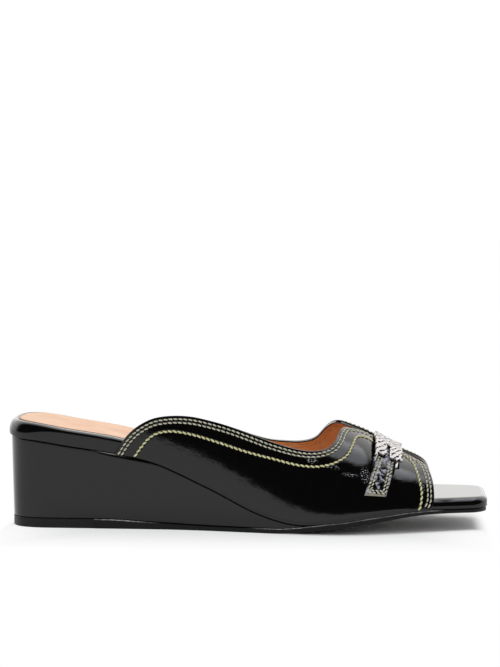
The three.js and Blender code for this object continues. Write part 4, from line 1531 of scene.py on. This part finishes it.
def stitches(surface, side, s, climb, kind, lift=0.0, number=0, hide=True):
    """A line of stitches on the last.

    Each stitch is a thread of round section, and its reach runs from -1 to 1 along it. Its half-thickness is a power
    of one minus the square of the reach. Its middle bows up off the leather and drops with the same square, so that
    the ends dive in. The slant turns the stitch within the leather.
    """
    here = off_last(side, s, climb, np.full_like(s, lift))
    run = run_along(here)
    count = int(run[-1] // kind["pitch"])
    if count < 1:
        return
    place_at = (np.arange(count) + 0.5) * run[-1] / count
    mid_s = np.interp(place_at, run, s)
    mid_climb = np.interp(place_at, run, climb)
    forward = unit(np.gradient(here, axis=0))
    forward = np.stack([np.interp(place_at, run, forward[:, k]) for k in range(3)], -1)
    if hide:
        seen = ~is_hidden(mid_s, mid_climb)
        mid_s, mid_climb, forward = mid_s[seen], mid_climb[seen], forward[seen]
    if not len(mid_s):
        return
    normal = last_slopes(side, mid_s, mid_climb)[2]
    centre = off_last(side, mid_s, mid_climb, np.full_like(mid_s, lift))
    aside = unit(np.cross(forward, normal))
    slant = math.radians(kind["slant"])
    along_it = forward * math.cos(slant) + aside * math.sin(slant)
    aside = unit(np.cross(along_it, normal))
    reach = -np.cos(np.linspace(0.0, np.pi, THREAD_RINGS))
    x = reach * kind["long"] / 2
    radius = kind["thick"] / 2 * np.maximum(1 - reach ** 2, 0.0) ** THREAD_BLUNT
    bow = kind["thick"] * (THREAD_BOW - THREAD_DIVE * reach ** 2)
    turn = np.linspace(0.0, 2 * np.pi, THREAD_POINTS, endpoint=False)
    wide = radius[:, None] * np.cos(turn)
    high = bow[:, None] + radius[:, None] * np.sin(turn)
    grids = (centre[:, None, None] + along_it[:, None, None] * x[:, None, None]
             + aside[:, None, None] * wide[..., None] + normal[:, None, None] * high[..., None])
    uv = np.stack(np.broadcast_arrays(x[:, None], turn[None]), -1)
    for grid in grids:
        surface.add(grid, uv, closed=True, number=number, flip=True)


def upper_stitches():
    """Two rows along every free edge of the upper, through to the lining, and the thicker single line further in."""
    surface = Surface()
    for side in SIDES:
        for line in (rear_edge(side, REAR_ROW_POINTS), toe_edge(side, TOE_ROW_POINTS)):
            for distance in (ROW_NEAR, ROW_FAR):
                row = inset_line(side, *line, distance)
                stitches(surface, side, *row, ROW_STITCH)
                stitches(surface, side, *row, LINING_STITCH, lift=-UPPER_WALL, number=2, hide=False)
        for line in single_line(side):
            stitches(surface, side, *line, LINE_STITCH, number=1)
    return surface.build("upper_stitches", [ROW_THREAD, LINE_THREAD, LINING_THREAD], merge=THREAD_MERGE)


def tab_stitches():
    """Two rows along both long edges of each strap tab, and two across its low end."""
    surface = Surface()
    face = FIT_GAP + STRAP_THICK - TAB_SUNK
    for side in SIDES:
        for inset in TAB_INSETS:
            lowest = STRAP_LOW + (inset + TAB_END_IN) / GIRTH
            climb = np.linspace(PLATE_LOW - TAB_TOP_IN, lowest, TAB_ROW_POINTS)
            for edge in (-1, 1):
                s = strap_middle(climb) + edge * (strap_half(climb) - inset)
                stitches(surface, side, s, climb, TAB_STITCH, face, hide=False)
            across = np.linspace(-1.0, 1.0, TAB_END_POINTS) * (strap_half(STRAP_LOW) - inset)
            low = np.full(TAB_END_POINTS, lowest)
            stitches(surface, side, strap_middle(low) + across, low, TAB_STITCH, face, hide=False)
    return surface.build("tab_stitches", [ROW_THREAD], merge=THREAD_MERGE)


place(upper_stitches(), "upper_patent")
place(tab_stitches(), "strap_patent")


# Studio

# Camera, in metres and degrees
PHOTO_HEIGHT = 667
FOCAL_PIXELS = 1958.9
SENSOR = 36.0
CAMERA_AT = (0.06469, -0.98960, 0.15540)
CAMERA_DOWN = 3.42
CAMERA_TURN = 3.67
CLIP_NEAR = 0.05
CLIP_FAR = 60.0

# Floor in metres: where its painted glow takes over beside and behind the shoe, the edge of the sole's shadow in front
# of it, where the glow cuts the shadow off, and where the glow turns from a dimmer painted shade near the shoe to
# white
FLOOR_HALF = 12.0
FADE_BESIDE = (0.113, 0.122)
FADE_BEHIND = (0.05, 0.09)
SHADOW_FRONT = -0.012
SHADOW_BULGE = 0.026
BULGE_AT = 0.045
BULGE_REACH = 0.09
FRONT_FADE = 0.008
FRONT_SHARE = 0.8
BRIGHT_IN = 0.04
BRIGHT_FADE = (0.03, 0.08)
PAPER = (0.92, 0.92, 0.92, 1.0)
SHADED_GLOW = (0.8, 0.81, 0.82, 1.0)
BLACK = (0.0, 0.0, 0.0, 1.0)
WHITE = (1.0, 1.0, 1.0, 1.0)

# Light by direction, each stretch as the part of the direction that points up, ahead or back
BOX_UP = (0.86, 0.9)
BOX_AHEAD = (0.13, 0.2)
BOX_STRENGTH = 3.0
BOX_COLOUR = (0.9, 0.94, 1.0, 1.0)
WALL_BACK = (-0.12, 0.3)
WALL_STRENGTH = 1.5
WALL_RISE = 0.9
ROOM_STRENGTH = 0.02
HORIZON = (0.12, 0.4)
LIT_ROOM = 0.9
LIT_BACK = (0.0, 0.5)
LIT_BACK_STRENGTH = 3.4
LIT_FRONT_LOSS = 0.5
LIT_TOP = (0.7, 0.9)
LIT_TOP_STRENGTH = 0.3
LIGHT_COLOUR = (1.0, 0.99, 0.98, 1.0)

# Strength of the backdrop as the camera sees it, enough for pure white
BACKDROP_SEEN = 1.04


def camera():
    """The photo's view: its place, its tilt down and its turn were fitted to the sole's ends and steps."""
    data = bpy.data.cameras.new("studio_camera")
    data.sensor_width = SENSOR
    data.lens = FOCAL_PIXELS * SENSOR / PHOTO_HEIGHT
    data.clip_start = CLIP_NEAR
    data.clip_end = CLIP_FAR
    rig = bpy.data.objects.new("studio_camera", data)
    rig.location = CAMERA_AT
    rig.rotation_euler = (math.radians(90 - CAMERA_DOWN), 0.0, math.radians(CAMERA_TURN))
    bpy.context.scene.collection.objects.link(rig)
    bpy.context.scene.camera = rig


def floor_white(look):
    """White paper whose painted glow fades it into the white backdrop away from the shoe, soonest just in front of the
    sole, where it cuts off the cast shadow at a set edge. Near the shoe the glow is dimmer, a painted shade.
    """
    body = look.body()
    x = look.part(body, 0)
    y = look.part(body, 1)
    from_middle = look.math("ABSOLUTE", x)
    from_axis = look.math("ABSOLUTE", y)
    beside = look.step(from_middle, *FADE_BESIDE)
    behind = look.step(from_axis, *FADE_BEHIND)
    # Painted light: from this edge in front of the sole the glow covers the floor and cuts the cast shadow off
    sole_edge = SHADOW_FRONT - SHADOW_BULGE * look.band(x, BULGE_AT, BULGE_REACH)
    front = FRONT_SHARE * look.step(y - sole_edge, 0.0, -FRONT_FADE)
    far = look.math("MAXIMUM", look.math("MAXIMUM", beside, behind), front)
    # Painted shade: the glow is dimmer near the shoe
    nearby = look.math("MAXIMUM", from_middle - BRIGHT_IN, from_axis)
    bright = look.step(nearby, *BRIGHT_FADE)
    return {
        "Base_Color": look.mix(far, PAPER, BLACK),
        "Roughness": 0.9,
        "Specular_IOR_Level": 0.0,
        "Emission_Color": look.mix(far, BLACK, look.mix(bright, SHADED_GLOW, WHITE)),
        "Emission_Strength": 1.0,
    }


def floor():
    """A flat floor under the shoe."""
    side = FLOOR_HALF / MM
    corners = np.array([[[-side, -side, 0.0], [-side, side, 0.0]], [[side, -side, 0.0], [side, side, 0.0]]])
    surface = Surface()
    surface.add(corners)
    piece = surface.build("floor", [material("floor_paper", floor_white)])


def studio_light():
    """Soft light from a white backdrop behind the shoe and a large soft box above it, with a dark room in front."""
    world = bpy.data.worlds.new("studio")
    bpy.context.scene.world = world
    world.use_nodes = True
    look = Look(world.node_tree)
    toward = look.node("TexCoord", output="Generated")
    back = look.part(toward, 1)
    up = look.part(toward, 2)
    ahead = look.part(toward, 0)
    box = look.step(up, *BOX_UP) * look.step(ahead, *BOX_AHEAD)
    wall = look.step(back, *WALL_BACK)
    high = look.step(up, *HORIZON)
    mirrored = ROOM_STRENGTH + wall * (WALL_STRENGTH + WALL_RISE * high) + BOX_STRENGTH * box
    low = LIT_BACK_STRENGTH * look.step(back, *LIT_BACK) - LIT_FRONT_LOSS
    lit = LIT_ROOM + (1 - high) * low + LIT_TOP_STRENGTH * look.step(up, *LIT_TOP)
    is_camera = look.node("LightPath", output="Is Camera Ray")
    is_glossy = look.node("LightPath", output="Is Glossy Ray")
    strength = BACKDROP_SEEN * is_camera + (1 - is_camera) * (is_glossy * mirrored + (1 - is_glossy) * lit)
    shade = look.mix(box * is_glossy, LIGHT_COLOUR, BOX_COLOUR)
    background = look.node("Background", Color=shade, Strength=strength)
    look.node("OutputWorld", Surface=background)
    world.cycles.sampling_method = "NONE"


floor()
studio_light()
camera()
bpy.context.scene.view_settings.view_transform = "Standard"
